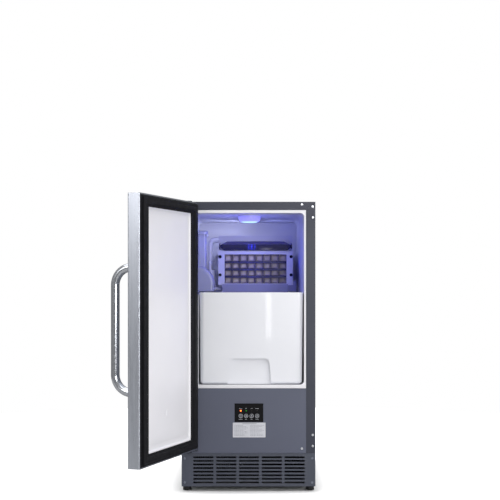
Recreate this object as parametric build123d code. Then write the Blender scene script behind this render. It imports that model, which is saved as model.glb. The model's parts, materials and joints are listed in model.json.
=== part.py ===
from build123d import *
import math
import os

# A 15-inch built-under clear-ice maker with its door standing open.
# Millimetres. The origin is on the floor under the middle of the cabinet's front face.
# +X is to the right, +Y runs back into the cabinet and +Z is up.

# cabinet
HALF_WIDTH = 187.5
HEIGHT = 812.0
DEPTH = 555.0
SHEET = 1.2
BASE_Z = 14.0
GRILLE_TOP = 107.0
FLANGE_INNER_X = 161.5
FLANGE_UNDER_Z = 789.0
RETURN_DEPTH = 12.0
PLATE_GAP = 0.1
INSIDE_X = HALF_WIDTH - SHEET - PLATE_GAP

# insulated compartment
CAVITY_X = 156.0
CAVITY_FLOOR = 298.6
CAVITY_TOP = 780.5
CAVITY_BACK = 500.0
CAVITY_CORNER = 12.0
LINER_WALL = 2.5
TRIM_DEPTH = 8.0
TRIM_BOTTOM = 289.2
BIN_LEDGE_X = -140.5
BIN_LEDGE_TOP = 552.0
DECK_Z = 268.5
FOAM_FRONT = 13.5

# control panel
PANEL_HALF = 161.3
PANEL_BOTTOM = 107.4
PANEL_TOP = 288.8
CONTROL_X = 1.2
WINDOW_WIDTH = 80.4
WINDOW_BOTTOM = 194.7
WINDOW_TOP = 246.9
WINDOW_LIP = 2.7
BUTTON_PITCH = 15.3
BUTTON_Z = 212.0
BUTTON_R = 6.1
BUTTON_HOLE_R = 6.4
LED_Z = 226.5
LED_R = 1.5
BOARD_Y = 9.0
LABEL_LEFT = -43.8
LABEL_RIGHT = 47.7
LABEL_BOTTOM = 151.7
LABEL_TOP = 193.1
LABEL_THICKNESS = 0.25

# grille
GRILLE_BOTTOM = 14.3
GRILLE_SHEET = 1.5
SLOT_LENGTH = 57.0
SLOT_HEIGHT = 5.0
SLOT_PITCH_X = 63.9
SLOT_MIDDLE_X = 1.4
SLOT_PITCH_Z = 10.1
SLOT_BOTTOM_Z = 25.3
SLOT_COLUMNS = 5
SLOT_ROWS = 8
REAR_SLOT_LENGTH = 46.0
REAR_SLOT_PITCH_Z = 14.0
REAR_SLOT_MIDDLE_Z = 196.0

# door, drawn closed and then swung open about the hinge pins
PIN_X = -168.5
PIN_Y = -30.0
PIN_R = 4.0
PIN_CLEARANCE = 0.05
OPEN_ANGLE = 110.0
DOOR_HALF = 185.0
DOOR_BOTTOM = 121.0
DOOR_TOP = 808.0
DOOR_FRONT = -42.0
DOOR_BACK = -9.0
DOOR_SHEET = 1.0
DOOR_RETURN = 20.0
GASKET_HALF = 173.0
GASKET_BOTTOM = 128.0
GASKET_TOP = 800.6
SEAL_WIDTH = 18.0
GASKET_FACE = -0.8
LIP_FACE = -4.5
LIP_HALF = 140.0
LIP_BOTTOM = 152.7
LIP_TOP = 775.5
GASKET_FLANGE = 181.5
FLANGE_FACE = -7.8
HANDLE_X = 139.5
HANDLE_R = 11.0
HANDLE_BEND = 45.0
HANDLE_REACH = 56.5
HANDLE_MID_Z = 464.5
HANDLE_SPREAD = 156.5
BRACKET = 2.6
BRACKET_LEFT = -187.0
BRACKET_RIGHT = -141.5
BRACKET_FOOT = 113.0
TAB = 3.0
TAB_HALF = 11.5
BUSH_R = 7.0
BUSH_LENGTH = 14.0
SPACER_R = 9.5
SPACER_DROP = 4.7

# flange screws, as (x, z), right-hand side
SCREW_POINTS = [
    (149.7, 804.7),
    (180.0, 798.8),
    (180.0, 768.0),
    (180.0, 158.4),
    (180.0, 127.6),
    (149.7, 120.3),
]
GRILLE_SCREW_X = 178.5
GRILLE_SCREW_Z = [25.3, 92.8]
SCREW_HEAD_R = 3.4
SCREW_R = 1.9
SCREW_HOLE_R = 2.1

# ice bin
BIN_LEFT = -138.6
BIN_RIGHT = 154.0
BIN_FRONT = 8.0
BIN_BACK = 428.0
BIN_BOTTOM = 299.9
BIN_TOP = 558.0
BIN_REAR_TOP = 545.0
BIN_STEP_Y = 265.0
BIN_WALL = 2.6
BIN_DRAFT = 0.7
BIN_CORNER = 14.0
PULL_DEPTH = 12.0
PULL_TOP = 372.0
PULL_FOOT = (-60.0, 63.0)
PULL_CROWN = (-46.5, 58.5)
PULL_RADII = (8.0, 17.0)

# ice scoop and its holder
SCOOP_X = -136.0
SCOOP_Y = 160.0
SCOOP_WALL = 2.0
SCOOP_DEPTH = 52.0
SCOOP_WIDTH = 80.0
BOWL_LEFT = -152.8
BOWL_BOTTOM = 561.0
BOWL_TOP = 636.0
GRIP_HALF_X = 12.0
GRIP_HALF_Y = 15.0
HEAD_BOTTOM = 728.0
HEAD_TOP = 738.0
FORK_BOTTOM = 720.0

# evaporator group
FRAME_LEFT = -92.7
FRAME_RIGHT = 136.3
FRAME_BOTTOM = 579.0
FRAME_TOP = 684.0
FRAME_FRONT = 296.0
FRAME_BACK = 314.0
HOUSING_TOP = 732.0
HOUSING_Y = 340.0
GRID_LEFT = -73.2
GRID_RIGHT = 116.4
GRID_BOTTOM = 583.7
GRID_TOP = 672.9
GRID_COLUMNS = 8
GRID_ROWS = 4
GRID_FRONT = 301.0
GRID_BACK = 317.0
GRID_LEAN = 15.0
NOTCH_Z = [610.0, 666.0]
NOTCH_R = 5.0
NOTCH_INSET = 5.5
COIL_R = 4.0
COIL_Y = 324.3
COIL_LEFT = -62.0
COIL_RIGHT = 104.0
COIL_TAIL_X = 124.0
COIL_ROWS = [600.0, 620.0, 640.0, 660.0]
FEED_X = -60.0
SPRAY_Y = 306.0
SPRAY_Z = 698.0
SPRAY_R = 6.0
HOOD_FRONT = 24.0
HOOD_RISE = 15.0
HOOD_DROP = 13.0
HOOD_WALL = 2.2
HOOD_LEFT = -86.5
HOOD_RIGHT = 130.0
HOOD_SHOULDER = 18.0
EAR_R = 9.0

# water path
TROUGH_LEFT = -80.0
TROUGH_RIGHT = 121.0
TROUGH_FRONT = 284.0
TROUGH_BACK = 338.0
TROUGH_BOTTOM = 557.0
TROUGH_RIM = 577.0
TROUGH_LIP = 582.0
TROUGH_WALL = 2.2
FLOAT_X = 108.0
FLOAT_Y = 326.0
PUMP_X = -116.0
PUMP_Y = 344.0
PUMP_R = 17.0
HOSE_DX = -3.0
HOSE_TOP = 719.0

# bin-full sensor
SENSOR_X = -149.5
SENSOR_Z = 585.0
SENSOR_CLIPS = [245.0, 315.0]

# lamp
LAMP_X = 3.0
LAMP_Y = 100.0
LAMP_R = 31.0
LAMP_DROP = 21.0
LAMP_BASE = 3.0
LAMP_WALL = 2.0

# machine compartment
CONDENSER_LEFT = -150.0
CONDENSER_RIGHT = 30.0
CONDENSER_BOTTOM = 32.0
CONDENSER_TOP = 188.0
CONDENSER_FRONT = 40.0
CONDENSER_BACK = 84.0
CONDENSER_FINS = 28
CONDENSER_ROWS = [50.0, 80.0, 110.0, 140.0, 170.0]
CONDENSER_INSET = 12.0
FAN_X = -60.0
FAN_Z = 110.0
FAN_R = 64.0
FAN_SHAFT_R = 3.0
FAN_BLADES = 5
FAN_PITCH_ANGLE = 32.0
FAN_MOTOR_FRONT = 134.0
FAN_MOTOR_BACK = 170.0
COMPRESSOR_X = 76.0
COMPRESSOR_Y = 400.0
COMPRESSOR_R = 72.0
COMPRESSOR_BOTTOM = 44.0
COMPRESSOR_TOP = 176.0
DRIER_X = -130.0
DRIER_Z = 150.0
DRIER_FRONT = 240.0
DRIER_BACK = 330.0
VALVE_X = 120.0
VALVE_Z = 62.0
THREAD_R = 13.2
DRAIN_X = 40.0
DRAIN_Z = 40.0
DRAIN_R = 8.0
GLAND_X = -110.0
GLAND_Z = 62.0
GLAND_BORE_R = 4.2

# levelling legs
LEG_X = 173.6
LEG_YS = [30.0, 510.0]
LEG_FOOT_R = 12.0
LEG_FOOT_TOP = 9.0
LEG_COLLAR_R = 10.5
LEG_COLLAR_HEIGHT = 4.7
LEG_STUD_R = 4.95
LEG_BORE_R = 5.0
LEG_STUD_TOP = 33.0
SOCKET_TOP = 37.5


def block(x0, x1, y0, y1, z0, z1):
    return Pos((x0 + x1) / 2, (y0 + y1) / 2, (z0 + z1) / 2) * Box(x1 - x0, y1 - y0, z1 - z0)


def rod_x(radius, x0, x1, y, z):
    return Pos((x0 + x1) / 2, y, z) * Rot(0, 90, 0) * Cylinder(radius, x1 - x0)


def rod_y(radius, x, y0, y1, z):
    return Pos(x, (y0 + y1) / 2, z) * Rot(90, 0, 0) * Cylinder(radius, y1 - y0)


def rod_z(radius, x, y, z0, z1):
    return Pos(x, y, (z0 + z1) / 2) * Cylinder(radius, z1 - z0)


def front_plate(outline, y0, y1):
    """A sketch drawn in X and Z, made into a plate from y0 back to y1."""
    plane = Plane((0, y0, 0), x_dir=(1, 0, 0), z_dir=(0, -1, 0))
    return extrude(plane * outline, amount=y0 - y1)


def side_plate(outline, x0, x1):
    """A sketch drawn in Y and Z, made into a bar from x0 to x1."""
    plane = Plane((x0, 0, 0), x_dir=(0, 1, 0), z_dir=(1, 0, 0))
    return extrude(plane * outline, amount=x1 - x0)


def rectangle(x0, x1, z0, z1, corner=0.0):
    place = Pos((x0 + x1) / 2, (z0 + z1) / 2)
    if corner:
        return place * RectangleRounded(x1 - x0, z1 - z0, corner)
    return place * Rectangle(x1 - x0, z1 - z0)


def polygon(*points):
    return make_face(Polyline(*points, close=True))


def pipe(points, bends, radius):
    path = FilletPolyline(*points, radius=bends)
    start = path.edges().sort_by_distance(points[0])[0]
    return sweep(Plane(points[0], z_dir=start.tangent_at(0)) * Circle(radius), path=path)


def mirrored(shape):
    return mirror(shape, about=Plane.YZ)


def swing_open(shape):
    return shape.rotate(Axis((PIN_X, PIN_Y, 0), (0, 0, 1)), -OPEN_ANGLE)


def save(name, *solids):
    shape = solids[0] if len(solids) == 1 else Compound(children=list(solids))
    export_step(shape, f"parts/{name}.step")


# ---------------------------------------------------------------- cabinet


def side_panel():
    """Right-hand side sheet with its folded front flange, mitred at the top."""
    plate = block(HALF_WIDTH - SHEET, HALF_WIDTH, SHEET, DEPTH, BASE_Z, HEIGHT)
    plate -= block(HALF_WIDTH - 2 * SHEET, HALF_WIDTH + 1, 0, RETURN_DEPTH + 2.5, 0, GRILLE_TOP + PLATE_GAP)
    flange = front_plate(
        polygon(
            (FLANGE_INNER_X, GRILLE_TOP + PLATE_GAP),
            (HALF_WIDTH, GRILLE_TOP + PLATE_GAP),
            (HALF_WIDTH, HEIGHT - PLATE_GAP),
            (FLANGE_INNER_X, FLANGE_UNDER_Z - PLATE_GAP),
        ),
        0,
        SHEET,
    )
    fold = block(
        FLANGE_INNER_X,
        FLANGE_INNER_X + SHEET,
        SHEET,
        SHEET + RETURN_DEPTH,
        GRILLE_TOP + PLATE_GAP,
        FLANGE_UNDER_Z - PLATE_GAP,
    )
    panel = plate + flange + fold
    for x, z in SCREW_POINTS:
        panel -= rod_y(SCREW_HOLE_R, x, -1, 3, z)
    return panel


def top_panel():
    plate = block(-INSIDE_X, INSIDE_X, SHEET, DEPTH - SHEET - PLATE_GAP, HEIGHT - SHEET, HEIGHT)
    flange = front_plate(
        polygon(
            (-HALF_WIDTH + PLATE_GAP, HEIGHT),
            (HALF_WIDTH - PLATE_GAP, HEIGHT),
            (FLANGE_INNER_X - PLATE_GAP, FLANGE_UNDER_Z),
            (-FLANGE_INNER_X + PLATE_GAP, FLANGE_UNDER_Z),
        ),
        0,
        SHEET,
    )
    fold_x = FLANGE_INNER_X - PLATE_GAP
    fold = block(-fold_x, fold_x, SHEET, SHEET + RETURN_DEPTH, FLANGE_UNDER_Z, FLANGE_UNDER_Z + SHEET)
    panel = plate + flange + fold
    x, z = SCREW_POINTS[0]
    for side in (-1, 1):
        panel -= rod_y(SCREW_HOLE_R, side * x, -1, 3, z)
    return panel


def rear_panel():
    panel = block(-INSIDE_X, INSIDE_X, DEPTH - SHEET, DEPTH, BASE_Z + 1.6, HEIGHT)
    for spot in GridLocations(SLOT_PITCH_X, REAR_SLOT_PITCH_Z, 4, 7).local_locations:
        place = Pos(spot.position.X, REAR_SLOT_MIDDLE_Z + spot.position.Y)
        slot = place * SlotOverall(REAR_SLOT_LENGTH, SLOT_HEIGHT)
        panel -= front_plate(slot, DEPTH - 3, DEPTH + 1)
    panel -= rod_y(THREAD_R + 0.4, VALVE_X, DEPTH - 3, DEPTH + 1, VALVE_Z)
    panel -= rod_y(DRAIN_R + 0.4, DRAIN_X, DEPTH - 3, DEPTH + 1, DRAIN_Z)
    panel -= rod_y(GLAND_BORE_R + 4.2, GLAND_X, DEPTH - 3, DEPTH + 1, GLAND_Z)
    return panel


def leg_places():
    return [(side * LEG_X, y) for y in LEG_YS for side in (-1, 1)]


def base_pan():
    half = INSIDE_X - 0.4
    front = RETURN_DEPTH + 3
    back = DEPTH - SHEET - PLATE_GAP
    pan = block(-half, half, front, back, BASE_Z, BASE_Z + 1.5)
    pan += block(-half, -half + 1.5, front, back, BASE_Z, BASE_Z + 26)
    pan += block(half - 1.5, half, front, back, BASE_Z, BASE_Z + 26)
    for x, y in leg_places():
        pan -= rod_z(LEG_BORE_R + 0.6, x, y, BASE_Z - 1, BASE_Z + 3)
    return pan


def leg_socket(x, y):
    body = block(x - 10.5, x + 10.5, y - 12, y + 12, BASE_Z + 1.5, SOCKET_TOP)
    return body - rod_z(LEG_BORE_R, x, y, BASE_Z, SOCKET_TOP + 1)


def leg(x, y):
    """Moulded foot with a hexagonal adjusting collar and a threaded stud."""
    foot = rod_z(LEG_FOOT_R, x, y, 0, LEG_FOOT_TOP)
    foot = chamfer(foot.edges().group_by(Axis.Z)[0], 1.2)
    collar = extrude(Pos(x, y, LEG_FOOT_TOP) * RegularPolygon(LEG_COLLAR_R, 6), amount=LEG_COLLAR_HEIGHT)
    stud = rod_z(LEG_STUD_R, x, y, 12, LEG_STUD_TOP)
    stud = chamfer(stud.edges().group_by(Axis.Z)[-1], 0.8)
    return foot + collar + stud


def compartment_deck():
    deck = block(-INSIDE_X, INSIDE_X, FOAM_FRONT, DEPTH - SHEET - PLATE_GAP, DECK_Z, DECK_Z + 1.5)
    return deck - rod_z(9, DRAIN_X, CAVITY_BACK - 30, DECK_Z - 1, DECK_Z + 3)


def cavity_form(grow):
    """The compartment's hollow, or the liner's outside when it is grown by the wall."""
    half = CAVITY_X + grow
    low = CAVITY_FLOOR - grow
    outline = rectangle(-half, half, low, CAVITY_TOP + grow, CAVITY_CORNER + grow)
    hollow = front_plate(outline, TRIM_DEPTH, CAVITY_BACK + grow)
    ledge_top = BIN_LEDGE_TOP - grow
    return hollow - block(-half - 1, BIN_LEDGE_X - grow, 20 + grow, DEPTH, low - 9, ledge_top)


def inner_liner():
    return cavity_form(LINER_WALL) - cavity_form(0)


def insulation_foam():
    back = DEPTH - SHEET - PLATE_GAP
    top = HEIGHT - SHEET - PLATE_GAP
    foam = block(-INSIDE_X, INSIDE_X, FOAM_FRONT, back, DECK_Z + 1.5, top)
    return foam - cavity_form(LINER_WALL)


def liner_trim():
    ring = rectangle(-PANEL_HALF, PANEL_HALF, TRIM_BOTTOM, FLANGE_UNDER_Z - PLATE_GAP)
    ring -= rectangle(-CAVITY_X, CAVITY_X, CAVITY_FLOOR, CAVITY_TOP, CAVITY_CORNER)
    return front_plate(ring, 0.2, TRIM_DEPTH)


# ---------------------------------------------------------------- front panels


def button_xs():
    return [CONTROL_X + (i - 1.5) * BUTTON_PITCH for i in range(4)]


def control_panel():
    half = PANEL_HALF
    panel = block(-half, half, 0, SHEET, PANEL_BOTTOM, PANEL_TOP)
    for side in (-1, 1):
        edge = side * (half - SHEET / 2)
        panel += block(
            edge - SHEET / 2, edge + SHEET / 2, 0, SHEET + RETURN_DEPTH, PANEL_BOTTOM, PANEL_TOP
        )
    panel += block(-half, half, 0, SHEET + RETURN_DEPTH, PANEL_TOP - SHEET, PANEL_TOP)
    panel += block(-half, half, -2, SHEET, PANEL_BOTTOM, PANEL_BOTTOM + 2)
    window = WINDOW_WIDTH / 2 + PLATE_GAP
    low = WINDOW_BOTTOM - PLATE_GAP
    panel -= block(CONTROL_X - window, CONTROL_X + window, -1, 3, low, WINDOW_TOP + PLATE_GAP)
    x, z = SCREW_POINTS[-1]
    for side in (-1, 1):
        panel -= rod_y(SCREW_HOLE_R, side * x, -1, 3, z)
    return panel


def display_window():
    """Black glass front with a rear lip behind the panel and four board posts."""
    left = CONTROL_X - WINDOW_WIDTH / 2
    right = CONTROL_X + WINDOW_WIDTH / 2
    window = block(left, right, -0.6, SHEET, WINDOW_BOTTOM, WINDOW_TOP)
    window += block(left - 4, right + 4, SHEET, WINDOW_LIP, WINDOW_BOTTOM - 4, WINDOW_TOP + 4)
    for x in button_xs():
        window -= rod_y(BUTTON_HOLE_R, x, -2, 4, BUTTON_Z)
        window -= rod_y(LED_R, x, -2, 4, LED_Z)
    for x in (left, right):
        for z in (WINDOW_BOTTOM, WINDOW_TOP):
            window += rod_y(2.5, x, WINDOW_LIP, BOARD_Y, z)
    return window


def control_board():
    """Circuit board with four switches and four indicator lamps."""
    board = block(CONTROL_X - 44, CONTROL_X + 44, BOARD_Y, BOARD_Y + 1.6, WINDOW_BOTTOM - 6, WINDOW_TOP + 6)
    for x in button_xs():
        board += block(x - 3, x + 3, BOARD_Y - 1.9, BOARD_Y, BUTTON_Z - 3, BUTTON_Z + 3)
        board += rod_y(1.3, x, WINDOW_LIP, BOARD_Y, LED_Z)
    board += block(CONTROL_X - 20, CONTROL_X + 20, BOARD_Y + 1.6, BOARD_Y + 12, WINDOW_TOP - 22, WINDOW_TOP)
    return board


def button(x):
    cap = rod_y(BUTTON_R, x, -0.9, 3.6, BUTTON_Z)
    cap = chamfer(cap.edges().group_by(Axis.Y)[0], 0.3)
    cap += rod_y(BUTTON_R + 1, x, 2.95, 3.6, BUTTON_Z)
    return cap + rod_y(1.5, x, 3.6, BOARD_Y - 2.8, BUTTON_Z)


def grille():
    width = SLOT_PITCH_X * (SLOT_COLUMNS - 1)
    low = GRILLE_BOTTOM
    top = GRILLE_TOP
    back = RETURN_DEPTH + 2
    plate = block(-HALF_WIDTH, HALF_WIDTH, 0, GRILLE_SHEET, low, top)
    for column in range(SLOT_COLUMNS):
        for row in range(SLOT_ROWS):
            x = SLOT_MIDDLE_X - width / 2 + column * SLOT_PITCH_X
            z = SLOT_BOTTOM_Z + row * SLOT_PITCH_Z
            plate -= front_plate(Pos(x, z) * SlotOverall(SLOT_LENGTH, SLOT_HEIGHT), -1, 3)
    for side in (-1, 1):
        inner, outer = sorted((side * (HALF_WIDTH - GRILLE_SHEET), side * HALF_WIDTH))
        plate += block(inner, outer, 0, back, low, top)
        for z in GRILLE_SCREW_Z:
            plate -= rod_y(SCREW_HOLE_R, side * GRILLE_SCREW_X, -1, 3, z)
    plate += block(-HALF_WIDTH, HALF_WIDTH, 0, back, top - GRILLE_SHEET, top)
    return plate + block(-HALF_WIDTH, HALF_WIDTH, 0, back, low, low + GRILLE_SHEET)


def screw(x, z, seat):
    """Pan-head screw driven back along Y, with its head on the plane y = seat."""
    head = rod_y(SCREW_HEAD_R, x, seat - 1.4, seat, z)
    head = fillet(head.edges().group_by(Axis.Y)[0], 0.7)
    head -= block(x - 2, x + 2, seat - 2, seat - 0.8, z - 0.4, z + 0.4)
    head -= block(x - 0.4, x + 0.4, seat - 2, seat - 0.8, z - 2, z + 2)
    return head + rod_y(SCREW_R, x, seat, 11.0, z)


def flange_screws():
    right = [screw(x, z, 0) for x, z in SCREW_POINTS]
    left = [screw(-x, z, -BRACKET) for x, z in SCREW_POINTS]
    return right + left


# ---------------------------------------------------------------- hinges


def hinge_bracket(z_end, z_arm, z_side, tab_low, tab_high):
    """L-shaped plate on the cabinet front with a forward tab that holds the hinge pin."""
    low, high = sorted((z_end, z_side))
    plate = block(BRACKET_LEFT, BRACKET_LEFT + 13, -BRACKET, 0, low, high)
    low, high = sorted((z_end, z_arm))
    plate += block(BRACKET_LEFT, BRACKET_RIGHT, -BRACKET, 0, low, high)
    plate += block(PIN_X - TAB_HALF, PIN_X + TAB_HALF, PIN_Y, 0, tab_low, tab_high)
    plate += rod_z(TAB_HALF, PIN_X, PIN_Y, tab_low, tab_high)
    for x, z in SCREW_POINTS:
        plate -= rod_y(SCREW_HOLE_R, -x, -BRACKET - 1, 1, z)
    return plate - rod_z(PIN_R, PIN_X, PIN_Y, tab_low - 1, tab_high + 1)


def hinge_pins():
    upper = rod_z(PIN_R, PIN_X, PIN_Y, DOOR_TOP - 12, HEIGHT)
    lower = rod_z(PIN_R, PIN_X, PIN_Y, BRACKET_FOOT, DOOR_BOTTOM + 10)
    return [upper, lower]


# ---------------------------------------------------------------- door


def bush_holes():
    low = rod_z(BUSH_R, PIN_X, PIN_Y, DOOR_BOTTOM - 1, DOOR_BOTTOM + BUSH_LENGTH)
    high = rod_z(BUSH_R, PIN_X, PIN_Y, DOOR_TOP - BUSH_LENGTH, DOOR_TOP + 1)
    return low + high


def door_bushes():
    """Nylon bushes in the door's ends. The lower one has a spacer flange that carries the door."""
    bore = rod_z(PIN_R + PIN_CLEARANCE, PIN_X, PIN_Y, 0, HEIGHT + 9)
    upper = rod_z(BUSH_R, PIN_X, PIN_Y, DOOR_TOP - BUSH_LENGTH, DOOR_TOP)
    lower = rod_z(BUSH_R, PIN_X, PIN_Y, DOOR_BOTTOM, DOOR_BOTTOM + BUSH_LENGTH)
    lower += rod_z(SPACER_R, PIN_X, PIN_Y, DOOR_BOTTOM - SPACER_DROP, DOOR_BOTTOM)
    return [upper - bore, lower - bore]


def door_form(inset):
    form = block(
        -DOOR_HALF + inset,
        DOOR_HALF - inset,
        DOOR_FRONT + inset,
        DOOR_BACK - inset,
        DOOR_BOTTOM + inset,
        DOOR_TOP - inset,
    )
    return fillet(form.edges().filter_by(Axis.Z), 3.0 - inset)


def liner_seat():
    """The opening in the door skin's return, which the inner panel fills."""
    return DOOR_HALF - DOOR_RETURN, DOOR_BOTTOM + 15, DOOR_TOP - 15


def door_skin():
    half, low, high = liner_seat()
    skin = door_form(0) - door_form(DOOR_SHEET)
    skin -= block(-half, half, DOOR_BACK - 3, DOOR_BACK + 1, low, high)
    return skin - bush_holes()


def door_foam():
    half, low, high = liner_seat()
    foam = door_form(DOOR_SHEET)
    foam -= block(-half, half, DOOR_BACK - 5, DOOR_BACK + 1, low, high)
    return foam - bush_holes()


def door_liner():
    """White inner panel: a raised border under the gasket and a shallow pan inside it."""
    half, low, high = liner_seat()
    panel = block(-half, half, DOOR_BACK - 5, DOOR_BACK, low, high)
    inset = 5.5
    outline = rectangle(inset - LIP_HALF, LIP_HALF - inset, LIP_BOTTOM + inset, LIP_TOP - inset, 10)
    pan = front_plate(outline, DOOR_BACK - 3.5, DOOR_BACK + 1)
    panel -= pan
    border = panel.edges().filter_by_position(Axis.Y, DOOR_BACK - 0.01, DOOR_BACK + 0.01)
    inner = [e for e in border if e.center().X ** 2 < 150**2 and 140 < e.center().Z < 790]
    return chamfer(inner, 3.0)


def door_gasket():
    """Magnetic seal: a thin outer flange, a raised sealing strip and a lower inner lip."""
    opening = rectangle(-LIP_HALF, LIP_HALF, LIP_BOTTOM, LIP_TOP, 3)
    flange_top = DOOR_TOP - 3.5
    flange = rectangle(-GASKET_FLANGE, GASKET_FLANGE, DOOR_BOTTOM + 3.5, flange_top, 4) - opening
    body = rectangle(-GASKET_HALF, GASKET_HALF, GASKET_BOTTOM, GASKET_TOP, 4)
    inner = GASKET_HALF - SEAL_WIDTH
    strip = body - rectangle(-inner, inner, GASKET_BOTTOM + SEAL_WIDTH, GASKET_TOP - SEAL_WIDTH, 3)
    gasket = front_plate(flange, DOOR_BACK, FLANGE_FACE)
    gasket += front_plate(body - opening, FLANGE_FACE, LIP_FACE)
    return gasket + front_plate(strip, LIP_FACE, GASKET_FACE)


def door_handle():
    x = HANDLE_X
    y = DOOR_FRONT - HANDLE_REACH
    low = HANDLE_MID_Z - HANDLE_SPREAD
    high = HANDLE_MID_Z + HANDLE_SPREAD
    points = [(x, DOOR_FRONT, high), (x, y, high), (x, y, low), (x, DOOR_FRONT, low)]
    bar = pipe(points, HANDLE_BEND, HANDLE_R)
    for z in (low, high):
        bar += rod_y(HANDLE_R + 2, x, DOOR_FRONT - 3, DOOR_FRONT, z)
    return bar


# ---------------------------------------------------------------- inside the compartment


def bin_form(inset):
    """The bin's outside, or its hollow when it is inset by the wall."""
    width = BIN_RIGHT - BIN_LEFT - 2 * inset
    length = BIN_BACK - BIN_FRONT - 2 * inset
    middle = ((BIN_LEFT + BIN_RIGHT) / 2, (BIN_FRONT + BIN_BACK) / 2)
    base = Pos(*middle, BIN_TOP) * RectangleRounded(width, length, BIN_CORNER - inset)
    form = extrude(base, amount=-(BIN_TOP - BIN_BOTTOM - inset), taper=BIN_DRAFT)
    return fillet(form.edges().group_by(Axis.Z)[0], 10.0 - inset)


def pull_recess(grow):
    """Finger recess low in the bin's front, wider at the bottom and rounder at the top right."""
    low = BIN_BOTTOM - 5
    top = PULL_TOP + grow
    shape = polygon(
        (PULL_FOOT[0] - grow, low),
        (PULL_FOOT[1] + grow, low),
        (PULL_CROWN[1] + grow, top),
        (PULL_CROWN[0] - grow, top),
    )
    for end, radius in zip((0, -1), PULL_RADII):
        corner = shape.vertices().group_by(Axis.Y)[-1].sort_by(Axis.X)[end]
        shape = fillet(corner, radius)
    return front_plate(shape, BIN_FRONT - 5, BIN_FRONT + PULL_DEPTH + grow)


def ice_bin():
    hollow = bin_form(BIN_WALL) - pull_recess(BIN_WALL)
    walls = bin_form(0) - pull_recess(0) - hollow
    return walls - block(-200, 200, BIN_STEP_Y, BIN_BACK + 5, BIN_REAR_TOP, BIN_TOP + 5)


def bowl_outline(inset):
    """Side view of the scoop's bowl: a quarter round above a straight back."""
    radius = SCOOP_DEPTH - inset
    high = BOWL_TOP - inset
    left = BOWL_LEFT
    low = BOWL_BOTTOM
    arc_start = (left, high)
    arc_end = (left + radius, high - radius)
    corner = (left + radius * math.sin(math.pi / 4), high - radius * (1 - math.cos(math.pi / 4)))
    return make_face(
        [
            ThreePointArc(arc_start, corner, arc_end),
            Line(arc_end, (left + radius, low)),
            Line((left + radius, low), (left, low)),
            Line((left, low), arc_start),
        ]
    )


def ice_scoop():
    """Scoop hung by its head: bowl open towards the wall and at its lower lip."""
    half = SCOOP_WIDTH / 2
    bowl = front_plate(bowl_outline(0), SCOOP_Y - half, SCOOP_Y + half)
    bowl = fillet([e for e in bowl.edges() if on_bowl_rim(e, half)], 9)
    inner = front_plate(bowl_outline(SCOOP_WALL), SCOOP_Y - half + SCOOP_WALL, SCOOP_Y + half - SCOOP_WALL)
    bowl -= fillet([e for e in inner.edges() if on_bowl_rim(e, half - SCOOP_WALL)], 7)
    bowl -= block(BOWL_LEFT - 1, BOWL_LEFT + 0.01, 0, 400, 500, 700)
    grip = block(
        SCOOP_X - GRIP_HALF_X,
        SCOOP_X + GRIP_HALF_X,
        SCOOP_Y - GRIP_HALF_Y,
        SCOOP_Y + GRIP_HALF_Y,
        BOWL_TOP - 9,
        HEAD_BOTTOM + 1,
    )
    grip = fillet(grip.edges().filter_by(Axis.Z), 6)
    grip -= bowl_space()
    head = block(
        SCOOP_X - GRIP_HALF_X - 4,
        SCOOP_X + GRIP_HALF_X + 4,
        SCOOP_Y - GRIP_HALF_Y - 3,
        SCOOP_Y + GRIP_HALF_Y + 3,
        HEAD_BOTTOM,
        HEAD_TOP,
    )
    head = fillet(head.edges().filter_by(Axis.Z), 8)
    head = fillet(head.edges().group_by(Axis.Z)[-1], 3)
    return bowl + grip + head


def on_bowl_rim(edge, half):
    """True for the curved and upright edges round the two sides of the bowl."""
    centre = edge.center()
    on_side = abs(abs(centre.Y - SCOOP_Y) - half) < 0.01
    return on_side and centre.X > BOWL_LEFT + 1 and centre.Z > BOWL_BOTTOM + 1


def bowl_space():
    half = SCOOP_WIDTH / 2 - SCOOP_WALL
    return front_plate(bowl_outline(SCOOP_WALL), SCOOP_Y - half, SCOOP_Y + half)


def scoop_holder():
    """Wall plate with a fork; the scoop's head rests on its two prongs."""
    wall = -CAVITY_X
    top = HEAD_BOTTOM - 0.3
    back = SCOOP_Y + GRIP_HALF_Y + 3
    inner = SCOOP_X + GRIP_HALF_X + 0.6
    holder = block(wall, wall + 1.5, SCOOP_Y - 20, back + 6, 690, top)
    holder += block(wall, SCOOP_X - GRIP_HALF_X - 0.6, SCOOP_Y - 17, back + 4, FORK_BOTTOM, top)
    holder += block(inner, inner + 4, SCOOP_Y - 17, back + 4, FORK_BOTTOM, top)
    return holder + block(wall, inner + 4, back, back + 4, FORK_BOTTOM, top)


def lamp_base():
    return rod_z(LAMP_R + LAMP_WALL, LAMP_X, LAMP_Y, CAVITY_TOP - LAMP_BASE, CAVITY_TOP)


def lamp_lens():
    low = CAVITY_TOP - LAMP_DROP
    high = CAVITY_TOP - LAMP_BASE
    dome = rod_z(LAMP_R, LAMP_X, LAMP_Y, low, high)
    dome = fillet(dome.edges().group_by(Axis.Z)[0], 11)
    core = rod_z(LAMP_R - LAMP_WALL, LAMP_X, LAMP_Y, low + LAMP_WALL, high)
    return dome - fillet(core.edges().group_by(Axis.Z)[0], 11 - LAMP_WALL)


def bin_sensor():
    """Sensing bulb in two clips, high on the left wall."""
    bulb = rod_y(4, SENSOR_X, SENSOR_CLIPS[0] - 15, SENSOR_CLIPS[1] + 15, SENSOR_Z)
    for y in SENSOR_CLIPS:
        bulb += block(-CAVITY_X, SENSOR_X + 3.5, y, y + 6, SENSOR_Z - 5, SENSOR_Z + 5)
    return bulb


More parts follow.
